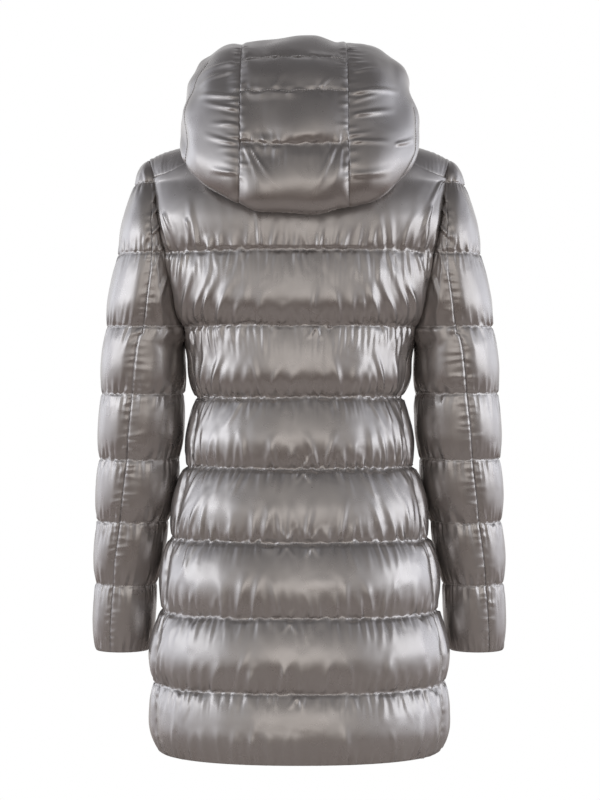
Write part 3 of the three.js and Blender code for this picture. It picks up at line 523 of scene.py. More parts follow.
# How gathers vary: the least, and how much more, of what is given for all of them.
LENGTHS, RISES, WIDTHS, STEPS = (0.45, 1.1), (0.4, 1.1), (0.3, 0.25), (0.55, 0.9)
TILT, BEND_MOST = 0.3, 0.25


def vary(spread, k):
    return spread[0] + spread[1] * k


class Folds:
    """Small folds laid on a simulated panel. Places on it are (row, column), sizes are mm."""

    def __init__(self, places, seed, turned=False):
        """turned swaps rows and columns, for folds that run out from an upright seam."""
        self.turned = turned
        places = places.transpose(1, 0, 2) if turned else places
        self.places = places
        shape = places.shape[:2]
        large, small = smooth_noise(shape, (45, 13), seed), smooth_noise(shape, (20, 7), seed + 1)
        self.height = 0.22 * large + 0.1 * small
        self.rng = np.random.default_rng(seed)
        length = np.cumsum(gap(places[:, 1:], places[:, :-1]), 1)
        self.across = np.gradient(np.pad(length, ((0, 0), (1, 0))), axis=1)

    def add(self, row, column, length, lean, width, rise, bend=0.0):
        """One fold from a place, up (length > 0) or down, leaning lean mm across per mm up."""
        rows, columns = self.height.shape
        i0, i1 = sorted((row, int(row + length / CELL)))
        i0, i1 = max(i0, 0), min(i1 + 1, rows)
        reach = 2.2 * width + abs(lean * length) + abs(bend * length)
        pitch = max(float(self.across[min(row, rows - 1), min(int(column), columns - 1)]), 0.8)
        j0, j1 = max(int(column - reach / pitch), 0), min(int(column + reach / pitch) + 2, columns)
        if i1 - i0 < 2 or j1 - j0 < 2:
            return
        i = np.arange(i0, i1)[:, None]
        j = np.arange(j0, j1)[None]
        along = (i - row) * CELL
        d = along / length
        centre = lean * along + bend * along * np.abs(d)
        u = ((j - column) * self.across[i0:i1, j0:j1] - centre) / (width * (0.75 + 0.7 * d))
        self.height[i0:i1, j0:j1] += rise * fold_shape(u, d)

    def gather(self, row, columns, up, spacing, length, rise, lean=0):
        """A row of gathers along a stitch line. length and rise are each a value at its middle and
        what is added at its ends, and lean is how far they lean at its right end."""
        first, last = columns
        middle, half = (first + last) / 2, (last - first) / 2
        column = first + self.rng.random() * spacing / CELL
        while column < last:
            s = (column - middle) / half
            k = self.rng.random(4)
            size = (length[0] + length[1] * s * s) * vary(LENGTHS, k[0]) * (1 if up else -1)
            height = (rise[0] + rise[1] * s * s) * vary(RISES, k[3])
            tilt, bend = (share * (k[1] - 0.5) for share in (TILT, BEND_MOST))
            self.add(row, column, size, lean * s + tilt, spacing * vary(WIDTHS, k[2]), height, bend)
            column += spacing / CELL * vary(STEPS, self.rng.random())

    def gather_line(self, row, columns, kind, lean=0):
        """Gathers above a stitch line, and below it unless it is the lowest."""
        above, below = GATHERS[kind]
        self.gather(row, columns, True, *above, lean)
        if row:
            self.gather(row, columns, False, *below, lean)

    def lay(self, held):
        """The panel with its folds, which leave the held points where they are."""
        soft = 1.0 - (held.T if self.turned else held)
        outward = grid_normals(self.places) * (-1 if self.turned else 1)
        found = self.places + outward * (self.height * soft)[..., None]
        return found.transpose(1, 0, 2) if self.turned else found


def seam_gathers(outer, held, seams, seed, spacing, length, rise):
    """Gathers that run out from upright seams. seams: column, first row, last row, direction."""
    folds = Folds(outer, seed, turned=True)
    folds.height *= 0
    for column, first, last, outward in seams:
        folds.gather(column, (first, last), outward > 0, spacing, (length, 0), (rise, 0))
    return folds.lay(held)


# ---- meshes --------------------------------------------------------------------------------
def make_mesh(name, vertices, faces, material, smooth=True):
    mesh = bpy.data.meshes.new(name)
    faces = np.asarray(faces, np.int32)
    sides = faces.shape[1]
    mesh.vertices.add(len(vertices))
    mesh.vertices.foreach_set("co", (np.asarray(vertices) / 1000).astype(np.float32).ravel())
    mesh.loops.add(faces.size)
    mesh.loops.foreach_set("vertex_index", faces.ravel())
    mesh.polygons.add(len(faces))
    mesh.polygons.foreach_set("loop_start", np.arange(0, faces.size, sides, dtype=np.int32))
    mesh.update(calc_edges=True)
    mesh.polygons.foreach_set("use_smooth", np.full(len(faces), smooth))
    mesh.materials.append(material)
    mesh.validate()
    thing = bpy.data.objects.new(name, mesh)
    bpy.context.scene.collection.objects.link(thing)
    return thing


def grid_faces(numbers, cells):
    quads = [numbers[:-1, :-1], numbers[:-1, 1:], numbers[1:, 1:], numbers[1:, :-1]]
    return np.stack(quads, axis=-1)[cells]


def bar_faces(sections, count=1):
    """The faces of bars with four corners at each of their sections, and of both their ends."""
    faces = [
        [4 * i + k, 4 * i + (k + 1) % 4, 4 * i + 4 + (k + 1) % 4, 4 * i + 4 + k]
        for i in range(sections - 1)
        for k in range(4)
    ]
    last = 4 * sections - 4
    faces = np.array(faces + [[3, 2, 1, 0], [last, last + 1, last + 2, last + 3]])
    return (faces[None] + 4 * sections * np.arange(count)[:, None, None]).reshape(-1, 4)


def border(cells):
    """The border edges of the cloth cells, as pairs of (row, column), cloth on the left."""
    padded = np.pad(cells, 1)
    inside = padded[1:-1, 1:-1]
    edges = []
    for (di, dj), (start, end) in (
        ((-1, 0), ((0, 0), (0, 1))),
        ((0, 1), ((0, 1), (1, 1))),
        ((1, 0), ((1, 1), (1, 0))),
        ((0, -1), ((1, 0), (0, 0))),
    ):
        beyond = padded[1 + di : padded.shape[0] - 1 + di, 1 + dj : padded.shape[1] - 1 + dj]
        rows, columns = np.nonzero(inside & ~beyond)
        first = np.stack([rows + start[0], columns + start[1]], -1)
        second = np.stack([rows + end[0], columns + end[1]], -1)
        edges.append(np.stack([first, second], 1))
    return np.concatenate(edges)


INNER_STEP = 4


def panel_mesh(name, outer, inner, cells, material, mirror=False, step=INNER_STEP):
    """A panel's outside, its inside on a coarser grid, and the rim between them."""
    rows, columns = cells.shape
    count = (rows + 1) * (columns + 1)
    numbers = np.arange(count).reshape(rows + 1, columns + 1)
    faces = [grid_faces(numbers, cells)]
    vertices = [outer.reshape(-1, 3)]
    coarse = inner[::step, ::step]
    coarse_cells = cells[::step, ::step]
    inner_numbers = count + np.arange(coarse.shape[0] * coarse.shape[1]).reshape(coarse.shape[:2])
    faces.append(grid_faces(inner_numbers, coarse_cells)[:, ::-1])
    vertices.append(coarse.reshape(-1, 3))
    edges = border(cells)
    ends, which = np.unique(edges.reshape(-1, 2), axis=0, return_inverse=True)
    which = which.reshape(-1, 2)
    start = count + coarse.shape[0] * coarse.shape[1]
    rim = start + np.arange(len(ends)) if step > 1 else inner_numbers[ends[:, 0], ends[:, 1]]
    vertices.append(inner[ends[:, 0], ends[:, 1]])
    a = numbers[edges[:, 0, 0], edges[:, 0, 1]]
    b = numbers[edges[:, 1, 0], edges[:, 1, 1]]
    faces.append(np.stack([b, a, rim[which[:, 0]], rim[which[:, 1]]], -1))
    everything = np.concatenate(vertices)
    quads = np.concatenate(faces)
    if mirror:
        everything = everything * [-1, 1, 1]
        quads = quads[:, ::-1]
    used, quads = np.unique(quads, return_inverse=True)
    return make_mesh(name, everything[used], quads.reshape(-1, 4), material)


# ---- materials -----------------------------------------------------------------------------
def new_material(name, colour, roughness, metallic=0.0):
    material = bpy.data.materials.new(name)
    material.use_nodes = True
    shader = material.node_tree.nodes["Principled BSDF"]
    shader.inputs["Base Color"].default_value = (*colour, 1)
    shader.inputs["Roughness"].default_value = roughness
    shader.inputs["Metallic"].default_value = metallic
    return material, material.node_tree, shader


def add_node(tree, kind, sockets, **settings):
    """A shader node. sockets gives its inputs by name: values, or other sockets to link to them."""
    node = tree.nodes.new(kind)
    for name, value in settings.items():
        setattr(node, name, value)
    for name, value in sockets.items():
        if isinstance(value, bpy.types.NodeSocket):
            tree.links.new(value, node.inputs[name])
        else:
            node.inputs[name].default_value = value
    return node


def noise(tree, scale, detail=3.0, distortion=0.0):
    """Noise over the piece itself, with scale lumps to a metre."""
    places = add_node(tree, "ShaderNodeTexCoord", {}).outputs["Object"]
    sockets = {"Scale": scale, "Detail": detail, "Distortion": distortion, "Vector": places}
    return add_node(tree, "ShaderNodeTexNoise", sockets).outputs["Fac"]


def spread(tree, shader, name, scale, low, high):
    """A socket of the shader that varies over the piece between two values or colours."""
    change = tree.nodes.new("ShaderNodeValToRGB")
    for element, place, value in zip(change.color_ramp.elements, (0.35, 0.65), (low, high)):
        element.position = place
        element.color = (*value, 1) if isinstance(value, tuple) else (value, value, value, 1)
    tree.links.new(noise(tree, scale), change.inputs["Fac"])
    tree.links.new(change.outputs["Color"], shader.inputs[name])


def bumps(tree, shader, layers):
    """Bumps one over another. layers: height socket, height in metres, strength."""
    below = {}
    for height, distance, strength in layers:
        sockets = {"Distance": distance, "Strength": strength, "Height": height, **below}
        below = {"Normal": add_node(tree, "ShaderNodeBump", sockets).outputs["Normal"]}
    tree.links.new(below["Normal"], shader.inputs["Normal"])


def shell_material():
    material, tree, shader = new_material("shell_satin", (0.43, 0.40, 0.383), 0.29, 0.74)
    shader.inputs["Coat Weight"].default_value = 0.2
    shader.inputs["Coat Roughness"].default_value = 0.3
    spread(tree, shader, "Base Color", 9, (0.415, 0.384, 0.366), (0.445, 0.416, 0.4))
    spread(tree, shader, "Roughness", 26, 0.26, 0.32)
    crease = noise(tree, 20, 1.5, 0.5)
    weave = noise(tree, 1500, 1)
    bumps(tree, shader, [(crease, 0.004, 0.35), (weave, 0.0001, 0.04)])
    return material


def thread_highlight_material():
    # The thread is lighter than the shell: a painted highlight that stands for the light along the stitched
    # ridges.
    material, tree, shader = new_material("thread_with_painted_highlight", (0.6, 0.57, 0.55), 0.5)
    spread(tree, shader, "Base Color", 400, (0.52, 0.49, 0.47), (0.68, 0.65, 0.63))
    bumps(tree, shader, [(noise(tree, 2500, 1), 0.0001, 0.5)])
    return material


def tape_material():
    material, tree, shader = new_material("zip_tape_cloth", (0.16, 0.14, 0.13), 0.8)
    spread(tree, shader, "Base Color", 60, (0.14, 0.125, 0.115), (0.19, 0.17, 0.16))
    places = add_node(tree, "ShaderNodeTexCoord", {}).outputs["Object"]
    rib = add_node(tree, "ShaderNodeTexWave", {"Scale": 180, "Vector": places})
    bumps(tree, shader, [(rib.outputs["Fac"], 0.0002, 0.6), (noise(tree, 1800, 1), 0.0001, 0.4)])
    return material


def metal_material():
    material, tree, shader = new_material("zip_metal", (0.55, 0.54, 0.53), 0.3, 1.0)
    spread(tree, shader, "Roughness", 220, 0.22, 0.4)
    bumps(tree, shader, [(noise(tree, 500, 2), 0.0001, 0.25)])
    return material


shell = shell_material()
thread_with_painted_highlight = thread_highlight_material()
tape_cloth = tape_material()
metal = metal_material()


def finish_piece(thing, nodes):
    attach(thing, "jacket")
    for node in nodes:
        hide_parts(node)


def down_panel(name, outer, inner, cells, mirror=False):
    """One of the jacket's panels, padded with down."""
    finish_piece(panel_mesh(f"{name}_panel", outer, inner, cells, shell, mirror), [name])


# ---- stitching -----------------------------------------------------------------------------
STITCH_PITCH, STITCH_LENGTH, THREAD_HALF, THREAD_LIFT = 3.4, 2.5, 0.34, 0.25
SQUARE_CORNERS = ((-1, -1), (1, -1), (1, 1), (-1, 1))
stitch_vertices, stitch_faces = [], []


def sew(path, outward, mirror):
    """A row of stitches along a path on the cloth, each a short bar that swells in its middle."""
    steps = gap(path[1:], path[:-1])
    length = np.concatenate([[0], np.cumsum(steps)])
    count = int(length[-1] // STITCH_PITCH)
    if count < 1:
        return
    starts = (np.arange(count) + 0.2) * STITCH_PITCH

    def along(where, values):
        return np.stack([np.interp(where, length, values[:, k]) for k in range(3)], -1)

    a, b = along(starts, path), along(starts + STITCH_LENGTH, path)
    up = along(starts + STITCH_LENGTH / 2, outward)
    up /= np.linalg.norm(up, axis=1, keepdims=True)
    ahead = b - a
    ahead /= np.maximum(np.linalg.norm(ahead, axis=1, keepdims=True), 1e-9)
    side = np.cross(up, ahead)
    middle = (a + b) / 2
    corners = [
        centre + side * sx * THREAD_HALF * size + up * (THREAD_LIFT + (sz * size + rise) * THREAD_HALF)
        for centre, size, rise in ((a, 0.6, 0.0), (middle, 1.0, 0.5), (b, 0.6, 0.0))
        for sx, sz in SQUARE_CORNERS
    ]
    points = np.stack(corners, 1)
    faces = bar_faces(3, count)
    start = sum(len(v) for v in stitch_vertices)
    if mirror:
        points = points * [-1, 1, 1]
        faces = faces[:, ::-1]
    stitch_vertices.append(points.reshape(-1, 3))
    stitch_faces.append(faces + start)


def sew_rows(outer, cells, rows, mirror=False):
    """Stitches along whole rows of a panel, where it has cloth."""
    for row in rows:
        columns = np.nonzero(cells[row])[0]
        sew_points(outer, row, slice(columns[0], columns[-1] + 2), mirror)


def sew_points(outer, rows, columns, mirror=False):
    """Stitches along a run of a panel's points."""
    sew(outer[rows, columns], grid_normals(outer)[rows, columns], mirror)


# ---- the panels ----------------------------------------------------------------------------
BODY_OUT, BODY_IN = 12.0, 4.0
YOKE_OUT, RIDGE_OUT = 6, 5  # how far out the back lies above its yoke, and the front at the ridge
GROOVE = {-1: 0.3, 0: 0.9, 1: 0.3}  # how deep the yoke's line is beside the arms, on three rows
GROOVE_START, GROOVE_FADE = 0.7, 0.06  # how far out of the middle it starts, and sets in
YOKE_ROW = (len(BODY_LINES) - 1) * CELLS
RIDGE_ROW = YOKE_ROW + RIDGE_CELLS
UNDERARM_ROW = ARM_LINE * CELLS - UNDERARM_CELLS
BODY_STITCHES = list(range(0, YOKE_ROW, CELLS))
BODY_HEIGHTS = line_rows(BODY_LINES, [CELLS] * len(BODY_LINES))
ZIP_SHARE = 0.022  # where the front edge meets the top curve
FRONT_SHARES = mix(1, ZIP_SHARE, np.linspace(0, 1, FRONT_CELLS + 1))
NECK_COLUMN = SIDE_CELLS + int(np.searchsorted(-FRONT_SHARES, -NECK_SHARE)) // 4 * 4
SLACK, SEAM_SLACK = 0.004, 0.012  # how much longer than its lines the cloth is, and more at the seams
DOWN_SLACK = -0.006
BACK_CALM_ROW, FRONT_CALM_ROW = YOKE_ROW - 14, RIDGE_ROW - 34  # from where the cloth has no slack
CALM_ROWS = 14  # rows over which it gets it
FADE_CELLS, FADE_LEAST = 9, 0.3
SIDE_LEAN, ARM_LEAN = -0.16, -0.45  # how far the back's outer gathers lean, and those by the arms


def edge_fade(columns):
    """A channel's fullness across a panel: full, but for the last few cells before each edge."""
    return mix(FADE_LEAST, 1, np.sqrt(np.clip(from_ends(columns) / FADE_CELLS, 0, 1)))


def body_channels(shape, lines, fade):
    """How far out the down fills the body between its stitch lines."""
    out = np.zeros(shape)
    for low, high, low_z, high_z in zip(lines, lines[1:], BODY_LINES, BODY_LINES[1:]):
        rows = np.arange(low, high + 1)
        full = fullness((high - rows) / (high - low), hanging(low_z, high_z))
        out[rows] = BODY_OUT * full[:, None] * fade
    return out


def body_slack(shape, top_row, uneven, seed):
    """How much longer than its lines the cloth is cut across: most at the seams, not at the top."""
    s = np.linspace(-1, 1, shape[1])
    calm = np.clip((top_row - np.arange(shape[0])) / CALM_ROWS, 0, 1)[:, None]
    return calm * (SLACK + SEAM_SLACK * np.abs(s)[None] ** 2 + uneven * smooth_noise(shape, (70, 45), seed))


def all_cells(shape):
    return np.ones((shape[0] - 1, shape[1] - 1), bool)


def stitched(shape, rows, columns=(0, -1)):
    """The points held by stitches: whole rows, and whole columns."""
    held = np.zeros(shape, bool)
    held[rows] = True
    held[:, columns] = True
    return held


def inside(base, out, full_out, full_in):
    """A panel's inner cloth: full_in deep where its outer cloth is full_out out."""
    return base - grid_normals(base) * (CLOTH + full_in * out[..., None] / full_out)


def wavy(base, held_rows, seed, amount=0.7, columns=slice(None)):
    """Stitch lines that wander a little up and down, and in and out."""
    normals = grid_normals(base)
    shape = base.shape[:2]
    drift = smooth_noise(shape, (10, 24), seed) * amount + smooth_noise(shape, (10, 5), seed + 3) * 0.5
    inward = smooth_noise(shape, (6, 5), seed + 7) * amount * 1.3
    moved = base.copy()
    for row in held_rows:
        moved[row, columns, 2] += drift[row, columns]
        moved[row, columns] += normals[row, columns] * inward[row, columns][..., None]
    return moved


# The long folds that fall in to the armholes' lines: how far out of the middle (1 is the edge) they
# start and on which line, length up, how far they lean in per mm up, half width and height.
BACK_FOLDS = [
    [0.97, 6, 88, 0.34, 7, 2.4],
    [0.87, 6, 90, 0.4, 6, 2.8],
    [0.77, 6, 88, 0.42, 6.5, 2.8],
    [0.67, 6, 84, 0.42, 7, 2.4],
    [0.56, 6, 74, 0.4, 8, 1.9],
    [0.44, 6, 60, 0.3, 9, 1.4],
    [0.97, 5, 86, 0.3, 6, 2.6],
    [0.86, 5, 84, 0.45, 6, 2.5],
    [0.73, 5, 76, 0.5, 7, 2.0],
    [0.58, 5, 60, 0.5, 8, 1.5],
]
# Folds on the yoke: the row and the place across (-1 to 1) where they start, length down, and lean.
YOKE_FOLDS = [
    [8 * CELLS + 8, 0.95, -84, 0.42],
    [7 * CELLS + 26, 0.86, -46, 0.2],
    [7 * CELLS + 22, -0.9, -42, -0.2],
    [7 * CELLS + 18, -0.74, -34, -0.15],
]
# Small puckers where a seam of the down's inner bags crosses a line: mm to the right, and line.
PUCKERS = [[20, 6], [5.6, 4], [15.5, 3], [-15.5, 3], [-11.8, 2], [-3, 1]]


def back_base():
    """The back's surface: columns run from its left seam to its right, rows up."""
    s = np.linspace(-1, 1, BACK_CELLS + 1)
    z = BODY_HEIGHTS[:, None]
    rows = [body_point(z, -QUARTER + s * (back_edge_turn(z) + QUARTER))]
    column = np.abs(s)
    end = read(SHOULDER_SEAM, column)
    for k in range(1, YOKE_CELLS + 1):
        f = k / YOKE_CELLS
        top = shoulder_point(mix(column, end["share"], f), f * end["height"], True)
        top[..., 0] *= np.where(s < 0, -1, 1)
        rows.append(top[None])
    return even(np.concatenate(rows))


def back_folds(outer, held):
    shape = held.shape
    folds = Folds(outer, 31)
    for k, line in enumerate(BODY_STITCHES):
        folds.gather_line(line, (2, shape[1] - 3), "back", ARM_LEAN if k in (5, 6) else SIDE_LEAN)
    for x, line in PUCKERS:
        row = line * CELLS
        column = (shape[1] - 1) / 2 + x / float(folds.across[row, shape[1] // 2])
        for lean in (-0.6, 0.6):
            folds.add(row + 1, column, 20, lean, 3.6, 2.6)
            folds.add(row - 1, column, -16, -lean, 3.4, 3.4)
    for out_share, line, length, lean, width, rise in BACK_FOLDS:
        for side in (-1, 1):
            column = (shape[1] - 1) * (1 + side * out_share) / 2 + side * folds.rng.uniform(-2, 2)
            folds.add(line * CELLS + 2, column, length, -side * lean, width, rise)
    for row, across, length, lean in YOKE_FOLDS:
        folds.add(row, (shape[1] - 1) * (1 + across) / 2, length, lean, 5, 3.2)
    outer = folds.lay(held)
    seams = [(0, 4, 5 * CELLS, 1), (shape[1] - 1, 4, 5 * CELLS, -1)]
    return seam_gathers(outer, held, seams, 33, 14, 20, 0.9)


def build_back():
    base = back_base()
    shape = base.shape[:2]
    cells = all_cells(shape)
    lines = BODY_STITCHES + [shape[0] - 1]
    fade = edge_fade(shape[1])
    out = body_channels(shape, lines, fade)
    k = np.arange(YOKE_ROW - CELLS // 2, shape[0])
    flatter = np.clip((k - k[0]) / (YOKE_ROW - k[0]), 0, 1)
    out[k] = mix(out[k], np.minimum(out[k], YOKE_OUT * fade[None]), flatter[:, None])
    near_arm = np.clip((np.abs(np.linspace(-1, 1, shape[1])) - GROOVE_START) / GROOVE_FADE, 0, 1)
    for step, depth in GROOVE.items():
        out[YOKE_ROW + step] -= depth * near_arm
    held = stitched(shape, lines)
    base = wavy(base, lines[1:-1], 11)
    slack_x = body_slack(shape, BACK_CALM_ROW, 0.005, 5)
    slack_y = DOWN_SLACK + 0.002 * smooth_noise(shape, (90, 90), 8)
    outer = back_folds(puff(base, out, held, cells, lines, slack_x, slack_y, 21), held)
    sew_rows(outer, cells, lines[1:-1])
    down_panel("back", outer, inside(base, out, BODY_OUT, BODY_IN), cells)


def front_base():
    """A front's surface, up over the ridge to the yoke's seam: columns run from the side seam past
    the armhole to the zip, rows up."""
    z = BODY_HEIGHTS[:, None]
    edge = front_edge_turn(np.maximum(z, UNDERARM_Z))
    zip_turn = turn_at(ZIP_HALF_GAP, read(BODY, z)["side"])
    f, g = np.linspace(0, 1, SIDE_CELLS + 1)[:-1], np.linspace(0, 1, FRONT_CELLS + 1)
    turn = np.concatenate([mix(side_seam_turn(z), edge, f), mix(edge, zip_turn, g)], axis=1)
    end = read(SHOULDER_SEAM, FRONT_SHARES)
    top = [shoulder_point(FRONT_SHARES, k / RIDGE_CELLS, False) for k in range(1, RIDGE_CELLS + 1)]
    for k in range(1, YOKE_CELLS + 1):
        f = k / YOKE_CELLS
        top.append(shoulder_point(mix(FRONT_SHARES, end["share"], f), mix(1, end["height"], f), True))
    top = np.array(top)
    top = np.concatenate([np.repeat(top[:, :1], SIDE_CELLS, axis=1), top], axis=1)
    base = np.concatenate([body_point(z, turn), top])
    below_arm = slice(0, UNDERARM_ROW + 1), slice(0, SIDE_CELLS + 1)
    base[below_arm] = even(base[below_arm])
    return base


def build_front(side):
    seed, mirror = (40, False) if side > 0 else (60, True)
    base = front_base()
    shape = base.shape[:2]
    place = np.arange(shape[1])
    under_arm = slice(UNDERARM_ROW, None), slice(0, SIDE_CELLS + 1)
    cells = all_cells(shape)
    cells[UNDERARM_ROW:, :SIDE_CELLS] = False
    cells[RIDGE_ROW:, NECK_COLUMN:] = False
    fade = edge_fade(shape[1])
    out = body_channels(shape, BODY_STITCHES, fade)
    k = np.arange(BODY_STITCHES[-1], shape[0])[:, None]
    top = np.where(place >= NECK_COLUMN, RIDGE_ROW, shape[0] - 1)[None]
    over_line = np.clip((k - k[0]) / CELLS, 0, 1)
    out[BODY_STITCHES[-1] :] = mix(BODY_OUT, RIDGE_OUT, over_line) * fullness((top - k) / (top - k[0]))
    from_arm = np.clip((place - SIDE_CELLS) / 10, 0, 1) ** 0.5
    out[UNDERARM_ROW:] *= np.minimum(from_arm, fade / fade.max())[None]
    out[under_arm] = 0
    held = stitched(shape, BODY_STITCHES + [shape[0] - 1])
    held[under_arm] = True
    held[RIDGE_ROW:, NECK_COLUMN:] = True
    base = wavy(base, BODY_STITCHES[1:], seed)
    slack_x = body_slack(shape, FRONT_CALM_ROW, 0.006, seed + 1)
    slack_y = np.full(shape, DOWN_SLACK)
    outer = puff(base, out, held, cells, BODY_STITCHES + [shape[0] - 1], slack_x, slack_y, seed + 2)
    folds = Folds(outer, seed + 5)
    for line in BODY_STITCHES:
        first = 2 if line < UNDERARM_ROW else SIDE_CELLS + 3
        folds.gather_line(line, (first, shape[1] - 3), "front")
    seams = [(0, 4, UNDERARM_ROW - 4, 1)]
    outer = seam_gathers(folds.lay(held), held, seams, seed + 6, 17, 18, 0.6)
    sew_rows(outer, cells, BODY_STITCHES[1:], mirror)
    sew_points(outer, slice(0, RIDGE_ROW), shape[1] - 3, mirror)
    name = "front_left" if mirror else "front_right"
    down_panel(name, outer, inside(base, out, BODY_OUT, BODY_IN), cells, mirror)


# ---- sleeves -------------------------------------------------------------------------------
SLEEVE_OUT, SLEEVE_IN = 5.5, 4.0
SLEEVE_LIFT = 1.5
SLEEVE_FADE, ELBOW_FADE, LIFT_FADE = 11, 6, 14  # cells from a seam over which these set in
UPPER_CELLS, STRIP_CELLS, BOTTOM_CELLS, CAP_CELLS = 92, 16, 48, 28
CAP_ROUND = 1.3
CAP_LEDGE = 4
ARMHOLE_SWELL = 1.03
CAP_TOP_RISE = 0.71
ELBOW_COLUMN = BOTTOM_CELLS + STRIP_CELLS
ELBOW_TOP = 6 * CELLS + 28  # the row where the elbow seam ends
ARM_ROW = SLEEVE_ARM_LINE * CELLS - UNDERARM_CELLS  # the row of the armhole's bottom
SLEEVE_STITCHES = list(range(0, len(SLEEVE_LINES) * CELLS, CELLS))


def armhole_point(z, rise, at_back):
    """A point of the armhole: on the body up to the yoke line, then rising over the shoulder."""
    low = body_point(z, back_edge_turn(z) if at_back else front_edge_turn(z))
    high = shoulder_point(np.ones_like(z), rise, at_back)
    return np.where((rise > 0)[..., None], high, low)


def cap_arc(z, rise, turn_shares, at_back):
    """The part of a sleeve's ring beside the armhole: turn_shares run from outside to the edge."""
    section = read(SLEEVE, z)
    edge = armhole_point(z, rise, at_back)
    shrink = 1 - rise**CAP_ROUND
    out_x = mix(edge[..., 0] + CAP_LEDGE, section["outX"], shrink)
    reach = np.abs(edge[..., 1] - section["y"])
    deep = np.maximum(np.where(rise > 0, 0, section["deep"]), reach * ARMHOLE_SWELL)
    turn = math.pi - np.arcsin(reach / deep)
    wide = (out_x - edge[..., 0]) / (1 - np.cos(turn))
    angle = turn_shares * turn
    sign = 1 if at_back else -1
    return turn, point(
        out_x - wide + wide * np.cos(angle), section["y"] - sign * deep * np.sin(angle), edge[..., 2]
    )


def sleeve_base():
    """The sleeve's surface: columns run round from the front seam by the underarm, the back
    corner and the elbow seam to the front seam again; rows run up."""
    below, above = SLEEVE_LINES[:SLEEVE_ARM_LINE], SLEEVE_LINES[SLEEVE_ARM_LINE:]
    low_z = [
        line_rows(below, [CELLS] * len(below))[:-1],
        line_rows([below[-1], UNDERARM_Z], [CELLS - UNDERARM_CELLS])[:-1],
    ]
    high_z = [
        line_rows([UNDERARM_Z, above[0]], [UNDERARM_CELLS])[:-1],
        line_rows(above, [CELLS] * len(above)),
    ]
    rises = [np.zeros(sum(map(len, high_z))), np.linspace(0, 1, CAP_CELLS + 1)[1:] * CAP_TOP_RISE]
    f, g, h = (np.linspace(0, 1, n + 1) for n in (BOTTOM_CELLS, STRIP_CELLS, UPPER_CELLS))
    z = np.concatenate(low_z)[:, None]
    section = read(SLEEVE, z)
    elbow, corner, front = (np.radians(section[k]) for k in ("elbow", "corner", "frontSeam"))
    arcs = [mix(front, corner, f[:-1]), mix(corner, elbow, g[:-1]), mix(elbow, front - 2 * math.pi, h)]
    turn = np.concatenate(arcs, axis=1)
    low = point(
        section["outX"] - section["wide"] + section["wide"] * np.cos(turn),
        section["y"] - section["deep"] * np.sin(turn),
        z,
    )
    along = np.linspace(0, 1, STRIP_CELLS + UPPER_CELLS + 1)
    every = np.ones(len(along))
    top_rise = CAP_TOP_RISE + (1 - CAP_TOP_RISE) * (1 - np.abs(2 * along - 1))
    top_back, top_front = (armhole_point(every * SHOULDER_Z, top_rise, at_back) for at_back in (True, False))
    top = np.where((along < 0.5)[:, None], top_back, top_front)
    z = np.concatenate([*high_z, np.full(CAP_CELLS, SHOULDER_Z)])
    rises = np.concatenate(rises)
    elbow = np.radians(read(SLEEVE, z)["elbow"])
    back_turn, front_turn = (cap_arc(z, rises, 0, at_back)[0] for at_back in (True, False))
    rows = []
    for i in range(len(z)):
        turn = np.concatenate([mix(back_turn[i], elbow[i], g[:-1]), mix(elbow[i], -front_turn[i], h)])
        behind = turn > 0
        share = np.where(behind, turn / back_turn[i], -turn / front_turn[i])
        back_side, front_side = (
            cap_arc(every * z[i], every * rises[i], share, at_back)[1] for at_back in (True, False)
        )
        ring = np.where(behind[:, None], back_side, front_side)
        ring = mix(ring, top, (rises[i] / CAP_TOP_RISE) ** 4)
        ring[:, 0] += SEAM_GAP
        rows.append(np.concatenate([np.repeat(ring[:1], BOTTOM_CELLS, axis=0), ring]))
    return np.concatenate([low, np.array(rows)])


# Folds that fall from the armhole over the top of the sleeve: rows above the -135 line, columns
# from the armhole, length down, and lean.
CAP_FOLDS = [
    [36, 3, -58, -0.55],
    [27, 2, -60, -0.75],
    [16, 3, -46, -0.9],
    [4, 4, -50, -0.5],
    [-12, 4, -52, -0.6],
]


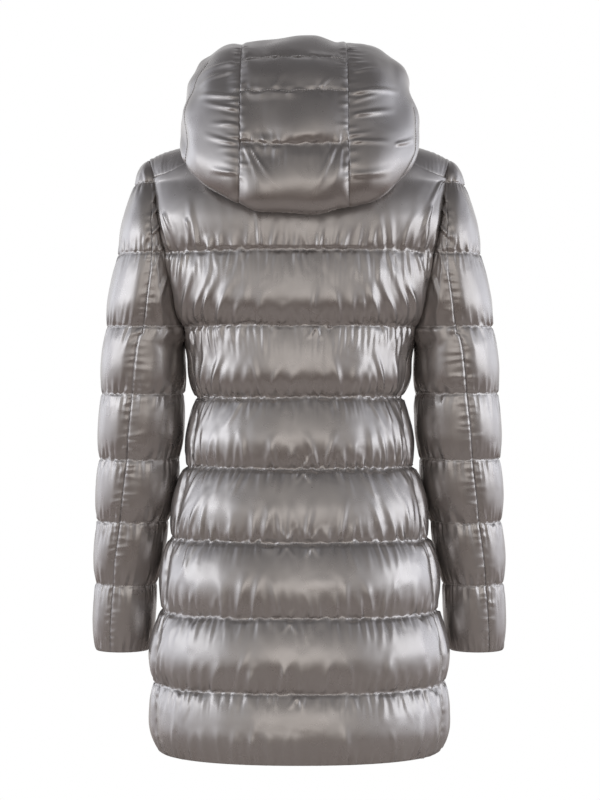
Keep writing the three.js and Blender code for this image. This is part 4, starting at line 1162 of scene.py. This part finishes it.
def build_sleeve(side):
    seed, mirror = (100, False) if side > 0 else (140, True)
    base = sleeve_base()
    shape = base.shape[:2]
    row, place = np.arange(shape[0]), np.arange(shape[1])
    lines, shoulder = SLEEVE_STITCHES, SLEEVE_STITCHES[-1]
    from_seam = from_ends(shape[1])
    from_armhole = np.minimum(place - BOTTOM_CELLS, shape[1] - 1 - place)
    under_arm = slice(ARM_ROW, None), slice(0, BOTTOM_CELLS + 1)
    cap = row >= shoulder
    channels = fullness(1 - (row % CELLS) / CELLS)
    full = np.where(cap, 0.5 * fullness(1 - (row - shoulder) / CAP_CELLS), channels)
    around = np.ones(shape)
    around[:ARM_ROW] *= np.clip(from_seam / SLEEVE_FADE, 0.4, 1)
    around[ARM_ROW:] *= np.clip(from_armhole / SLEEVE_FADE, 0, 1)
    around[:ELBOW_TOP] *= mix(0.5, 1, np.clip(np.abs(place - ELBOW_COLUMN) / ELBOW_FADE, 0, 1))
    out = SLEEVE_OUT * full[:, None] * around
    out[under_arm] = 0
    cells = all_cells(shape)
    cells[ARM_ROW:, :BOTTOM_CELLS] = False
    held = stitched(shape, lines + [shape[0] - 1])
    held[:ELBOW_TOP, ELBOW_COLUMN] = True
    held[under_arm] = True
    lift = SLEEVE_LIFT * np.clip(from_armhole / LIFT_FADE, 0, 1)
    lift = np.where(row[:, None] < ARM_ROW, SLEEVE_LIFT, lift[None])
    lift = lift * np.clip(1 - (row - shoulder) / CAP_CELLS, 0, 1)[:, None]
    base = wavy(base + grid_normals(base) * lift[..., None], lines[1:-1], seed, 0.5)
    calm = np.where(cap, 0, 1)[:, None]
    slack_x = calm * (0.006 + 0.004 * smooth_noise(shape, (60, 40), seed + 3))
    slack_y = calm * (-0.012 + 0.002 * smooth_noise(shape, (90, 90), seed + 4))
    outer = puff(base, out, held, cells, lines + [shape[0] - 1], slack_x, slack_y, seed)
    folds = Folds(outer, seed + 5)
    for line in lines:
        first = 2 if line < ARM_ROW else BOTTOM_CELLS + 2
        folds.gather_line(line, (first, shape[1] - 3), "sleeve")
    for row_up, column, length, lean in CAP_FOLDS:
        folds.add(6 * CELLS + row_up, BOTTOM_CELLS + column, length, lean, 5, 3.4)
    seams = [(ELBOW_COLUMN, 4, ELBOW_TOP - 4, outward) for outward in (1, -1)]
    outer = seam_gathers(folds.lay(held), held, seams, seed + 6, 11, 13, 0.9)
    inner = inside(base, out, SLEEVE_OUT, SLEEVE_IN)
    under = cells.copy()
    under[:, ELBOW_COLUMN:] = False
    under[ELBOW_TOP:] = False
    sew_rows(outer, cells, lines[1:], mirror)
    name = "left" if mirror else "right"
    down_panel(f"sleeve_upper_{name}", outer, inner, cells & ~under, mirror)
    down_panel(f"sleeve_under_{name}", outer, inner, under, mirror)


# ---- hood ----------------------------------------------------------------------------------
HOOD_OUT, HOOD_IN = 8.0, 3.0
HOOD_DEPTHS = [0, 0.5, 4, 5, 0]  # how far out its lines lie, from the lower rim to the face
HOOD_SEAT_UP, HOOD_SEAT_OUT = 1.6, 2.3
HOOD_BAND_LIFT = 2
CENTRE_CELLS, HOOD_SIDE_CELLS, BAND_CELLS = 60, 84, 8
HOOD_SEAMS = (HOOD_SIDE_CELLS, HOOD_SIDE_CELLS + CENTRE_CELLS)
HOOD_STITCHES = [0, *np.cumsum(HOOD_CELLS).tolist()]
HOOD_SOFT, HOOD_SEAM_SOFT = 26, 14  # mm from its rims, and from its seams, over which it swells
HOOD_SEAM_OUT = 0.55  # how much of its swell it keeps at its seams
BAND_DIP, BAND_DIP_CELLS = 3.0, 1.2  # how deep and how wide its band's seam is drawn in
CRINKLE, CRINKLE_SOFT = 1.7, 16  # how high its crinkles are, and mm from a stitch over which they start


def hood_point(row, share):
    """A point of the hood: a row of its table, and a share from its middle (0) to the face (1)."""
    row, share = np.broadcast_arrays(row, share)
    line = read(HOOD, np.minimum(row, 8))
    turn = np.clip(share / HOOD_WIDEST, 0, 1) * QUARTER
    behind = point(
        line["wideX"] * power(np.sin(turn), 2 / SQUARE),
        mix(line["wideY"], line["backY"], power(np.cos(turn).clip(0), 2 / SQUARE)),
        mix(line["wideZ"], line["backZ"], np.cos(turn)),
    )
    turn = np.clip((share - HOOD_WIDEST) / (1 - HOOD_WIDEST), 0, 1) * QUARTER
    before = point(
        mix(line["edgeX"], line["wideX"], np.cos(turn)),
        mix(line["wideY"], line["edgeY"], np.sin(turn)),
        mix(line["wideZ"], line["edgeZ"], np.sin(turn)),
    )
    return np.where((share < HOOD_WIDEST)[..., None], behind, before)


def band_point(climb, share):
    """The neck band, from the hood's lower rim (0) in to the neckline (1)."""
    climb, share = np.broadcast_arrays(climb, share)
    f = np.where(share < HOOD_WIDEST, share / HOOD_WIDEST, (1 - share) / (1 - HOOD_WIDEST))
    behind = top_curve(NECK_SHARE * f, True, HOOD_SEAT_UP)
    before = top_curve(mix(HOOD_NECK_END, NECK_SHARE, f), False, HOOD_SEAT_UP)
    neck = np.where((share < HOOD_WIDEST)[..., None], behind, before)
    length = np.hypot(neck[..., 0], neck[..., 1])
    neck[..., 0] += neck[..., 0] / length * HOOD_SEAT_OUT
    neck[..., 1] += neck[..., 1] / length * HOOD_SEAT_OUT
    low = hood_point(np.full(share.shape, 8.0), share)
    turn = climb * QUARTER
    up = np.where(neck[..., 2] > low[..., 2], np.sin(turn), 1 - np.cos(turn))
    return point(
        mix(neck[..., 0], low[..., 0], np.cos(turn)),
        mix(neck[..., 1], low[..., 1], np.cos(turn)),
        mix(low[..., 2], neck[..., 2], up) + HOOD_BAND_LIFT * np.sin(2 * turn),
    )


def edge_rise(count, reach, least=0):
    """How full a grid's rows or columns are: rising over reach mm from the first and the last."""
    return np.sqrt(np.clip(from_ends(count) * CELL / reach, least, 1))


def hood_centre(place):
    return (place >= HOOD_SEAMS[0]) & (place <= HOOD_SEAMS[1])


def from_hood_seam(place):
    return np.minimum(np.abs(place - HOOD_SEAMS[0]), np.abs(place - HOOD_SEAMS[1])) * CELL


def hood_seam_share(row, half):
    wide = read(HOOD, row)["wideX"]
    return HOOD_WIDEST * np.arcsin((half / wide) ** (SQUARE / 2)) / QUARTER


def hood_shares(row):
    left = hood_seam_share(row, HOOD_CENTRE_HALF + HOOD_TWIST)
    right = hood_seam_share(row, HOOD_CENTRE_HALF - HOOD_TWIST)
    f, g = np.linspace(0, 1, HOOD_SIDE_CELLS + 1), np.linspace(0, 1, CENTRE_CELLS + 1)
    return np.concatenate([mix(-1, -left, f[:-1]), mix(-left, right, g), mix(right, 1, f[1:])], axis=1)


def signed(place, share):
    return place * np.stack([np.where(share < 0, -1, 1), np.ones_like(share), np.ones_like(share)], -1)


# Where the band's seam runs on each side of the hood: its table row, and how far out of the
# middle it lies as a share of the hood's half width there.
BAND_SEAM = {
    "left": [[2.6, 0.86], [3.2, 0.92], [4, 0.965], [5, 0.965], [6, 0.95], [7.2, 0.95], [8, 0.9]],
    "right": [[4.3, 0.97], [5.5, 0.96], [6.2, 0.95], [6.8, 0.87], [7.3, 0.79], [7.7, 0.68], [8, 0.55]],
}
# Folds that run out from the hood's upright seams: mm from the seam, where up the seam (0 is the
# lower rim and 1 the upper line), length (to the left if negative), lean, half width and height.
HOOD_FOLDS = [
    [1, 0.71, -52, -0.1, 5, 4.4],
    [1, 0.64, -40, -0.2, 4.5, 3.8],
    [1, 0.56, -30, 0.1, 4, 2.4],
    [1, 0.45, -36, -0.1, 4.5, 3.4],
    [1, 0.3, -30, 0.2, 5, 2.4],
    [2, 0.9, -56, 0.3, 6, 3.6],
    [2, 0.97, -60, 0.1, 8, 3.0],
    [1, 0.87, 34, 0.3, 5, 2.8],
    [1, 0.73, 58, 0.15, 5, 4.4],
    [1, 0.68, 34, 0.4, 4, 2.6],
    [1, 0.61, 48, 0.1, 5, 4.2],
    [1, 0.47, 36, -0.3, 4, 3.6],
    [18, 0.41, 34, -0.1, 4, 3.4],
    [1, 0.3, 40, -0.2, 6, 2.4],
]


def hood_band_seam(name, rows, shares):
    """The grid column of the band's seam on each row of the hood, or 0 where it has none."""
    seam = np.array(BAND_SEAM[name])
    out = np.interp(rows, seam[:, 0], seam[:, 1])
    share = HOOD_WIDEST * np.arcsin(out ** (SQUARE / 2)) / QUARTER
    share *= -1 if name == "left" else 1
    column = np.array([np.interp(at, line, np.arange(len(line))) for at, line in zip(share, shares)])
    return np.where(rows >= seam[0, 0], column, 0)


def hood_out(bands):
    """How far out the down fills the hood: its centre's channels, its sides, and a dip along the
    band's seam."""
    shape = bands[0].shape[0], HOOD_SEAMS[1] + HOOD_SIDE_CELLS + 1
    place = np.arange(shape[1])
    swell = (HOOD_OUT * edge_rise(shape[0], HOOD_SOFT))[:, None]
    centre = np.zeros((shape[0], 1))
    for low, high, low_out, high_out in zip(HOOD_STITCHES, HOOD_STITCHES[1:], HOOD_DEPTHS, HOOD_DEPTHS[1:]):
        k = np.arange(low, high + 1)[:, None]
        f = (high - k) / (high - low)
        centre[low : high + 1] = mix(mix(high_out, low_out, f), HOOD_OUT + 1, fullness(f))
    out = np.where(hood_centre(place), centre, swell)
    off_seam = np.sqrt(np.clip(from_hood_seam(place) / HOOD_SEAM_SOFT, 0, 1))
    out = mix(np.minimum(HOOD_SEAM_OUT * swell, centre), out, off_seam)
    out *= edge_rise(shape[1], HOOD_SOFT, 0.03)[None]
    for column in bands:
        off_seam = (place[None] - column[:, None]) / BAND_DIP_CELLS
        out -= BAND_DIP * np.exp(-(off_seam**2)) * (column > 0)[:, None]
    return out


def hood_folds(outer, held):
    """The hood with its gathers, its crinkles and its folds."""
    left, right = HOOD_SEAMS
    deep, middle, high = HOOD_STITCHES[1:-1]
    row, place = (np.arange(count) for count in held.shape)
    folds = Folds(outer, 209)
    for line, rise in ((deep, 1.5), (middle, 0.7), (high, 0.8)):
        for up in (True, False):
            folds.gather(line, HOOD_SEAMS, up, 13, (18, 0), (rise, 0))
    for column, lean in ((left + 3, -0.5), (left + 6, -0.75), (right - 4, 0.25), (right - 8, 0.5)):
        folds.add(deep - 1, column, -52, lean, 5, 3.8)
    knot = left + 0.72 * CENTRE_CELLS
    folds.add(middle + 1, knot, 16, 0.7, 3.6, 3.6)
    folds.add(middle - 1, knot, -12, -0.8, 3.6, 3.2)
    folds.add(middle + 1, left + 0.35 * CENTRE_CELLS, 40, 0.5, 7, 1.8)
    upright = [(column, 30, high + 20, outward) for column in HOOD_SEAMS for outward in (1, -1)]
    outer = seam_gathers(folds.lay(held), held, upright, 211, 11, 15, 1.7)
    folds = Folds(outer, 213, turned=True)
    from_line = np.min([np.abs(row - line) for line in HOOD_STITCHES], axis=0) * CELL
    from_rim = from_ends(len(row)) * CELL
    from_stitch = np.where(hood_centre(place), from_line[:, None], from_rim[:, None])
    loose = np.clip(np.minimum(from_stitch, from_hood_seam(place)) / CRINKLE_SOFT, 0, 1)
    folds.height = CRINKLE * smooth_noise(folds.height.shape, (22, 38), 214) * smooth_step(loose).T
    for away, up_share, length, lean, width, rise in HOOD_FOLDS:
        start = left - away if length < 0 else right + away
        folds.add(start, up_share * high, length, lean, width, rise)
    return folds.lay(held)


def build_hood_band(shares):
    """The strip that joins the hood's lower rim to the neckline."""
    climb = np.linspace(1, 0, BAND_CELLS + 1)[:, None]
    shares = np.broadcast_to(shares, (BAND_CELLS + 1, shares.shape[1]))
    band = signed(band_point(climb, np.abs(shares)), shares)
    inner = band - grid_normals(band) * CLOTH
    strip = panel_mesh("hood_band_strip", band, inner, all_cells(shares.shape), shell, step=1)
    finish_piece(strip, ["hood_band"])


def build_hood():
    left, right = HOOD_SEAMS
    rows = line_rows(HOOD_LINES, HOOD_CELLS)[:, None]
    shares = hood_shares(rows)
    base = signed(hood_point(rows, np.abs(shares)), shares)
    shape = base.shape[:2]
    bands = [hood_band_seam(name, rows[:, 0], shares) for name in BAND_SEAM]
    out = hood_out(bands)
    cells = all_cells(shape)
    held = stitched(shape, [0, -1], [0, left, right, -1])
    centre = slice(left, right + 1)
    held[HOOD_STITCHES[1:-1], centre] = True
    base = wavy(base, HOOD_STITCHES[1:-1], 201, 0.6, centre)
    slack_x = 0.004 + 0.003 * smooth_noise(shape, (60, 40), 203)
    slack_y = -0.004 + 0.002 * smooth_noise(shape, (90, 90), 204)
    outer = hood_folds(puff(base, out, held, cells, HOOD_STITCHES, slack_x, slack_y, 205), held)
    inner = inside(base, out.clip(0), HOOD_OUT, HOOD_IN)
    for line in HOOD_STITCHES[1:-1]:
        sew_points(outer, line, centre)
    for column in bands:
        on = np.nonzero(column > 0)[0]
        sew_points(outer, on, column[on].round().astype(int))
    columns = {
        "hood_side_left": slice(0, left),
        "hood_centre": slice(left, right),
        "hood_side_right": slice(right, None),
    }
    for name, own in columns.items():
        part = np.zeros_like(cells)
        part[:, own] = True
        down_panel(name, outer, inner, part)
    build_hood_band(shares[:1])


# ---- collar --------------------------------------------------------------------------------
COLLAR_CELLS = 16  # rows of cloth cells in each of its two puffs
COLLAR_COLUMNS = 144
COLLAR_OUT, COLLAR_IN = 5.0, 2.0
COLLAR_LEAN = 4
COLLAR_FADE = 8  # cells from its ends over which its puffs fill out
COLLAR_SHARE = 0.0252  # where on the top curve it starts
COLLAR_BACK = 0.52  # how far round its half the back begins


def build_collar():
    """Two puffs round the neck, from the right front's edge round the back to the left's."""
    s = np.linspace(-1, 1, COLLAR_COLUMNS + 1)
    around = 1 - np.abs(s)
    on_front = around < COLLAR_BACK
    share = np.where(
        on_front,
        mix(COLLAR_SHARE, NECK_SHARE, around / COLLAR_BACK),
        mix(NECK_SHARE, 0, (around - COLLAR_BACK) / (1 - COLLAR_BACK)),
    )
    line = np.where(on_front[:, None], top_curve(share, False), top_curve(share, True))
    line[:, 0] *= np.where(s > 0, -1, 1)
    away = line[:, :2] / np.hypot(line[:, 0], line[:, 1])[:, None]
    height = np.linspace(0, 1, 2 * COLLAR_CELLS + 1)[:, None]
    move = -SEAM_GAP - COLLAR_LEAN * height
    base = point(
        line[:, 0] + away[:, 0] * move,
        line[:, 1] + away[:, 1] * move,
        line[:, 2] - CLOTH + COLLAR_HEIGHT * height,
    )
    shape = base.shape[:2]
    row = np.arange(shape[0])
    full = fullness(1 - (row % COLLAR_CELLS) / COLLAR_CELLS) * (row < shape[0] - 1)
    out = COLLAR_OUT * full[:, None] * np.clip(from_ends(shape[1]) / COLLAR_FADE, 0.2, 1)[None]
    cells = all_cells(shape)
    lines = [0, COLLAR_CELLS, 2 * COLLAR_CELLS]
    base = wavy(base, lines[1:-1], 301, 0.4)
    slack = np.full(shape, 0.03)
    outer = puff(base, out, stitched(shape, lines), cells, lines, slack, slack * 0.5, 305)
    down_panel("collar", outer, inside(base, out, COLLAR_OUT, COLLAR_IN), cells)


# ---- zip -----------------------------------------------------------------------------------
ZIP_START_Z = -767
ZIP_IN = -0.5
TAPE_EDGES, TAPE_HALF = (2.2, 6.6), 0.3
TOOTH_PITCH = 2.4
# A tooth's sections from its tip, past the middle line, to its root: across, half out, half up.
TOOTH = [(-0.8, 0.7, 0.3), (0.2, 1.0, 0.5), (2.7, 1.0, 0.5)]


def zip_line(step):
    """Places along the zip up the front and the collar, step apart, and the way out of each."""
    low = body_point(np.arange(ZIP_START_Z, SHOULDER_Z, 6.0), QUARTER, ZIP_IN)
    rise = np.linspace(0, 1, 20)
    neck = shoulder_point(np.zeros(20), rise, False, ZIP_IN)
    collar = neck[-1] + np.array([[0, -COLLAR_LEAN * h, COLLAR_HEIGHT * h] for h in (0.25, 0.5, 0.75, 1)])
    line = np.concatenate([low, neck, collar])
    line[:, 0] = 0
    length = np.concatenate([[0], np.cumsum(gap(line[1:], line[:-1]))])
    at = np.arange(0, length[-1], step)
    line = np.stack([np.interp(at, length, line[:, k]) for k in range(3)], -1)
    ahead = np.gradient(line, axis=0)
    ahead /= np.linalg.norm(ahead, axis=1, keepdims=True)
    outward = np.stack([np.zeros(len(at)), ahead[:, 2], -ahead[:, 1]], -1)
    return line, ahead, outward


def build_zip(side):
    name = "right" if side > 0 else "left"
    way = slice(None, None, side)
    across = np.array([side, 0, 0])
    line, ahead, outward = zip_line(TOOTH_PITCH / 2)
    own = slice(0 if side > 0 else 1, None, 2)
    rings = [
        line[own] + across * x + outward[own] * out * a + ahead[own] * up * b
        for x, out, up in TOOTH
        for a, b in SQUARE_CORNERS
    ]
    points = np.stack(rings, 1)
    faces = bar_faces(3, len(points))[:, way]
    teeth = make_mesh(f"zip_teeth_{name}", points.reshape(-1, 3), faces, metal, smooth=False)
    finish_piece(teeth, [])
    line, _, outward = zip_line(8)
    low, high = TAPE_EDGES
    corners = [(low, -1), (high, -1), (high, 1), (low, 1)]
    rings = np.stack([line + across * x + outward * TAPE_HALF * out for x, out in corners], 1)
    faces = bar_faces(len(line))[:, way]
    tape = make_mesh(f"zip_tape_{name}_strip", rings.reshape(-1, 3), faces, tape_cloth, smooth=False)
    finish_piece(tape, [f"zip_tape_{name}"])


def finish_metal():
    """The zip's hard parts are the frame's own, with their edges rounded."""
    for name in ("zip_slider", "zip_box", "zip_pull_tab"):
        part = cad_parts[name]
        part.data.materials.clear()
        part.data.materials.append(metal)
        edge = part.modifiers.new("edge", "BEVEL")
        edge.width = 0.0003
        edge.segments = 2


# ---- build ---------------------------------------------------------------------------------
build_back()
build_front(1)
build_front(-1)
build_sleeve(1)
build_sleeve(-1)
build_hood()
build_collar()
build_zip(1)
build_zip(-1)
finish_metal()
stitching = make_mesh("stitching", np.concatenate(stitch_vertices), np.concatenate(stitch_faces), thread_with_painted_highlight)
finish_piece(stitching, [])

# ---- studio --------------------------------------------------------------------------------
scene = bpy.context.scene
scene.view_settings.view_transform = "Standard"
CAMERA_DISTANCE = 2.8
HEIGHT_SHOWN = 1.04
camera_data = bpy.data.cameras.new("camera")
camera_data.sensor_width = 36
camera_data.lens = 36 * CAMERA_DISTANCE / HEIGHT_SHOWN
camera = bpy.data.objects.new("camera", camera_data)
camera.location = (0.00065, -CAMERA_DISTANCE, -0.3224)
camera.rotation_euler = (math.pi / 2, 0, 0)
scene.collection.objects.link(camera)
scene.camera = camera

world = bpy.data.worlds.new("world")
world.use_nodes = True
scene.world = world
background = world.node_tree.nodes["Background"]
background.inputs["Color"].default_value = (1, 1, 1, 1)
background.inputs["Strength"].default_value = 1.0

direction = add_node(world.node_tree, "ShaderNodeTexCoord", {}).outputs["Generated"]
parts = add_node(world.node_tree, "ShaderNodeSeparateXYZ", {"Vector": direction})


def world_ramp(axis, stops):
    """A colour that changes along an axis of the world, from -1 to 1."""
    tree = world.node_tree
    scale = add_node(tree, "ShaderNodeMapRange", {"From Min": -1, "Value": parts.outputs[axis]})
    ramp = tree.nodes.new("ShaderNodeValToRGB")
    while len(ramp.color_ramp.elements) < len(stops):
        ramp.color_ramp.elements.new(0.5)
    for element, (place, *colour) in zip(ramp.color_ramp.elements, stops):
        element.position = (place + 1) / 2
        element.color = (*colour, 1)
    tree.links.new(scale.outputs["Result"], ramp.inputs["Fac"])
    return ramp.outputs["Color"]


# How bright the world is by height, from left to right, and from the camera's side to beyond the
# jacket. Each stop is a place from -1 to 1, then red, green and blue.
UPWARD = [
    (-1, 0.08, 0.052, 0.042), (-0.36, 0.2, 0.15, 0.125), (-0.08, 0.66, 0.64, 0.62),
    (0.05, 1, 1, 1), (0.15, 0.94, 0.94, 0.94), (0.3, 0.7, 0.7, 0.7),
    (0.6, 0.44, 0.44, 0.45), (0.8, 0.28, 0.28, 0.29), (1, 0.2, 0.2, 0.21),
]
SIDEWAYS = [
    (-1, 1.65, 1.74, 1.89), (-0.76, 1.2, 1.25, 1.34), (-0.58, 0.8, 0.81, 0.83),
    (-0.36, 0.62, 0.61, 0.6), (-0.12, 0.74, 0.73, 0.72), (0.12, 0.74, 0.73, 0.72),
    (0.36, 0.6, 0.59, 0.58), (0.6, 0.66, 0.66, 0.68), (0.78, 1.15, 1.2, 1.29), (1, 1.7, 1.79, 1.95),
]
BACKWARD = [
    (-1, 1.08, 1.07, 1.06), (-0.5, 1, 1, 1), (-0.1, 0.74, 0.74, 0.75),
    (0.2, 0.9, 0.9, 0.92), (0.6, 1.45, 1.47, 1.5), (1, 1.6, 1.62, 1.65),
]


def times(first, second):
    sockets = {"Factor": 1, "A": first, "B": second}
    mixed = add_node(world.node_tree, "ShaderNodeMix", sockets, data_type="RGBA", blend_type="MULTIPLY")
    return mixed.outputs["Result"]


studio_light = times(times(world_ramp("Z", UPWARD), world_ramp("X", SIDEWAYS)), world_ramp("Y", BACKWARD))
# The camera itself sees the world white.
to_camera = add_node(world.node_tree, "ShaderNodeLightPath", {}).outputs["Is Camera Ray"]
seen_white = {"B": (1, 1, 1, 1), "Factor": to_camera, "A": studio_light}
shown = add_node(world.node_tree, "ShaderNodeMix", seen_white, data_type="RGBA")
world.node_tree.links.new(shown.outputs["Result"], background.inputs["Color"])


def soft_light(name, place, size, watts, colour):
    """A soft light that looks level at the jacket's middle line."""
    data = bpy.data.lights.new(name, "AREA")
    data.shape = "RECTANGLE"
    data.size, data.size_y = size
    data.energy = watts
    data.color = colour
    thing = bpy.data.objects.new(name, data)
    thing.location = place
    ahead = np.array([0, 0, place[2]], float) - np.array(place, float)
    thing.rotation_euler = Vector(ahead).to_track_quat("-Z", "Y").to_euler()
    scene.collection.objects.link(thing)


soft_light("left", (-1.93, -0.52, -0.1), (1.6, 0.5), 4.0, (0.9, 0.95, 1))
soft_light("right", (1.93, -0.52, -0.25), (1.6, 0.7), 4.5, (0.9, 0.95, 1))
soft_light("front", (0, -3.6, -0.45), (2.8, 1.1), 6.0, (1, 0.985, 0.965))

FLOOR_RADIUS, FLOOR_Z, FLOOR_SIDES = 1700, -1300, 64
floor_material, _, _ = new_material("floor", (0.72, 0.63, 0.57), 0.9)
turns = [2 * math.pi * k / FLOOR_SIDES for k in range(FLOOR_SIDES)]
rim = [(FLOOR_RADIUS * math.cos(turn), FLOOR_RADIUS * math.sin(turn), FLOOR_Z) for turn in turns]
floor = make_mesh("floor", rim, [list(range(FLOOR_SIDES))], floor_material)
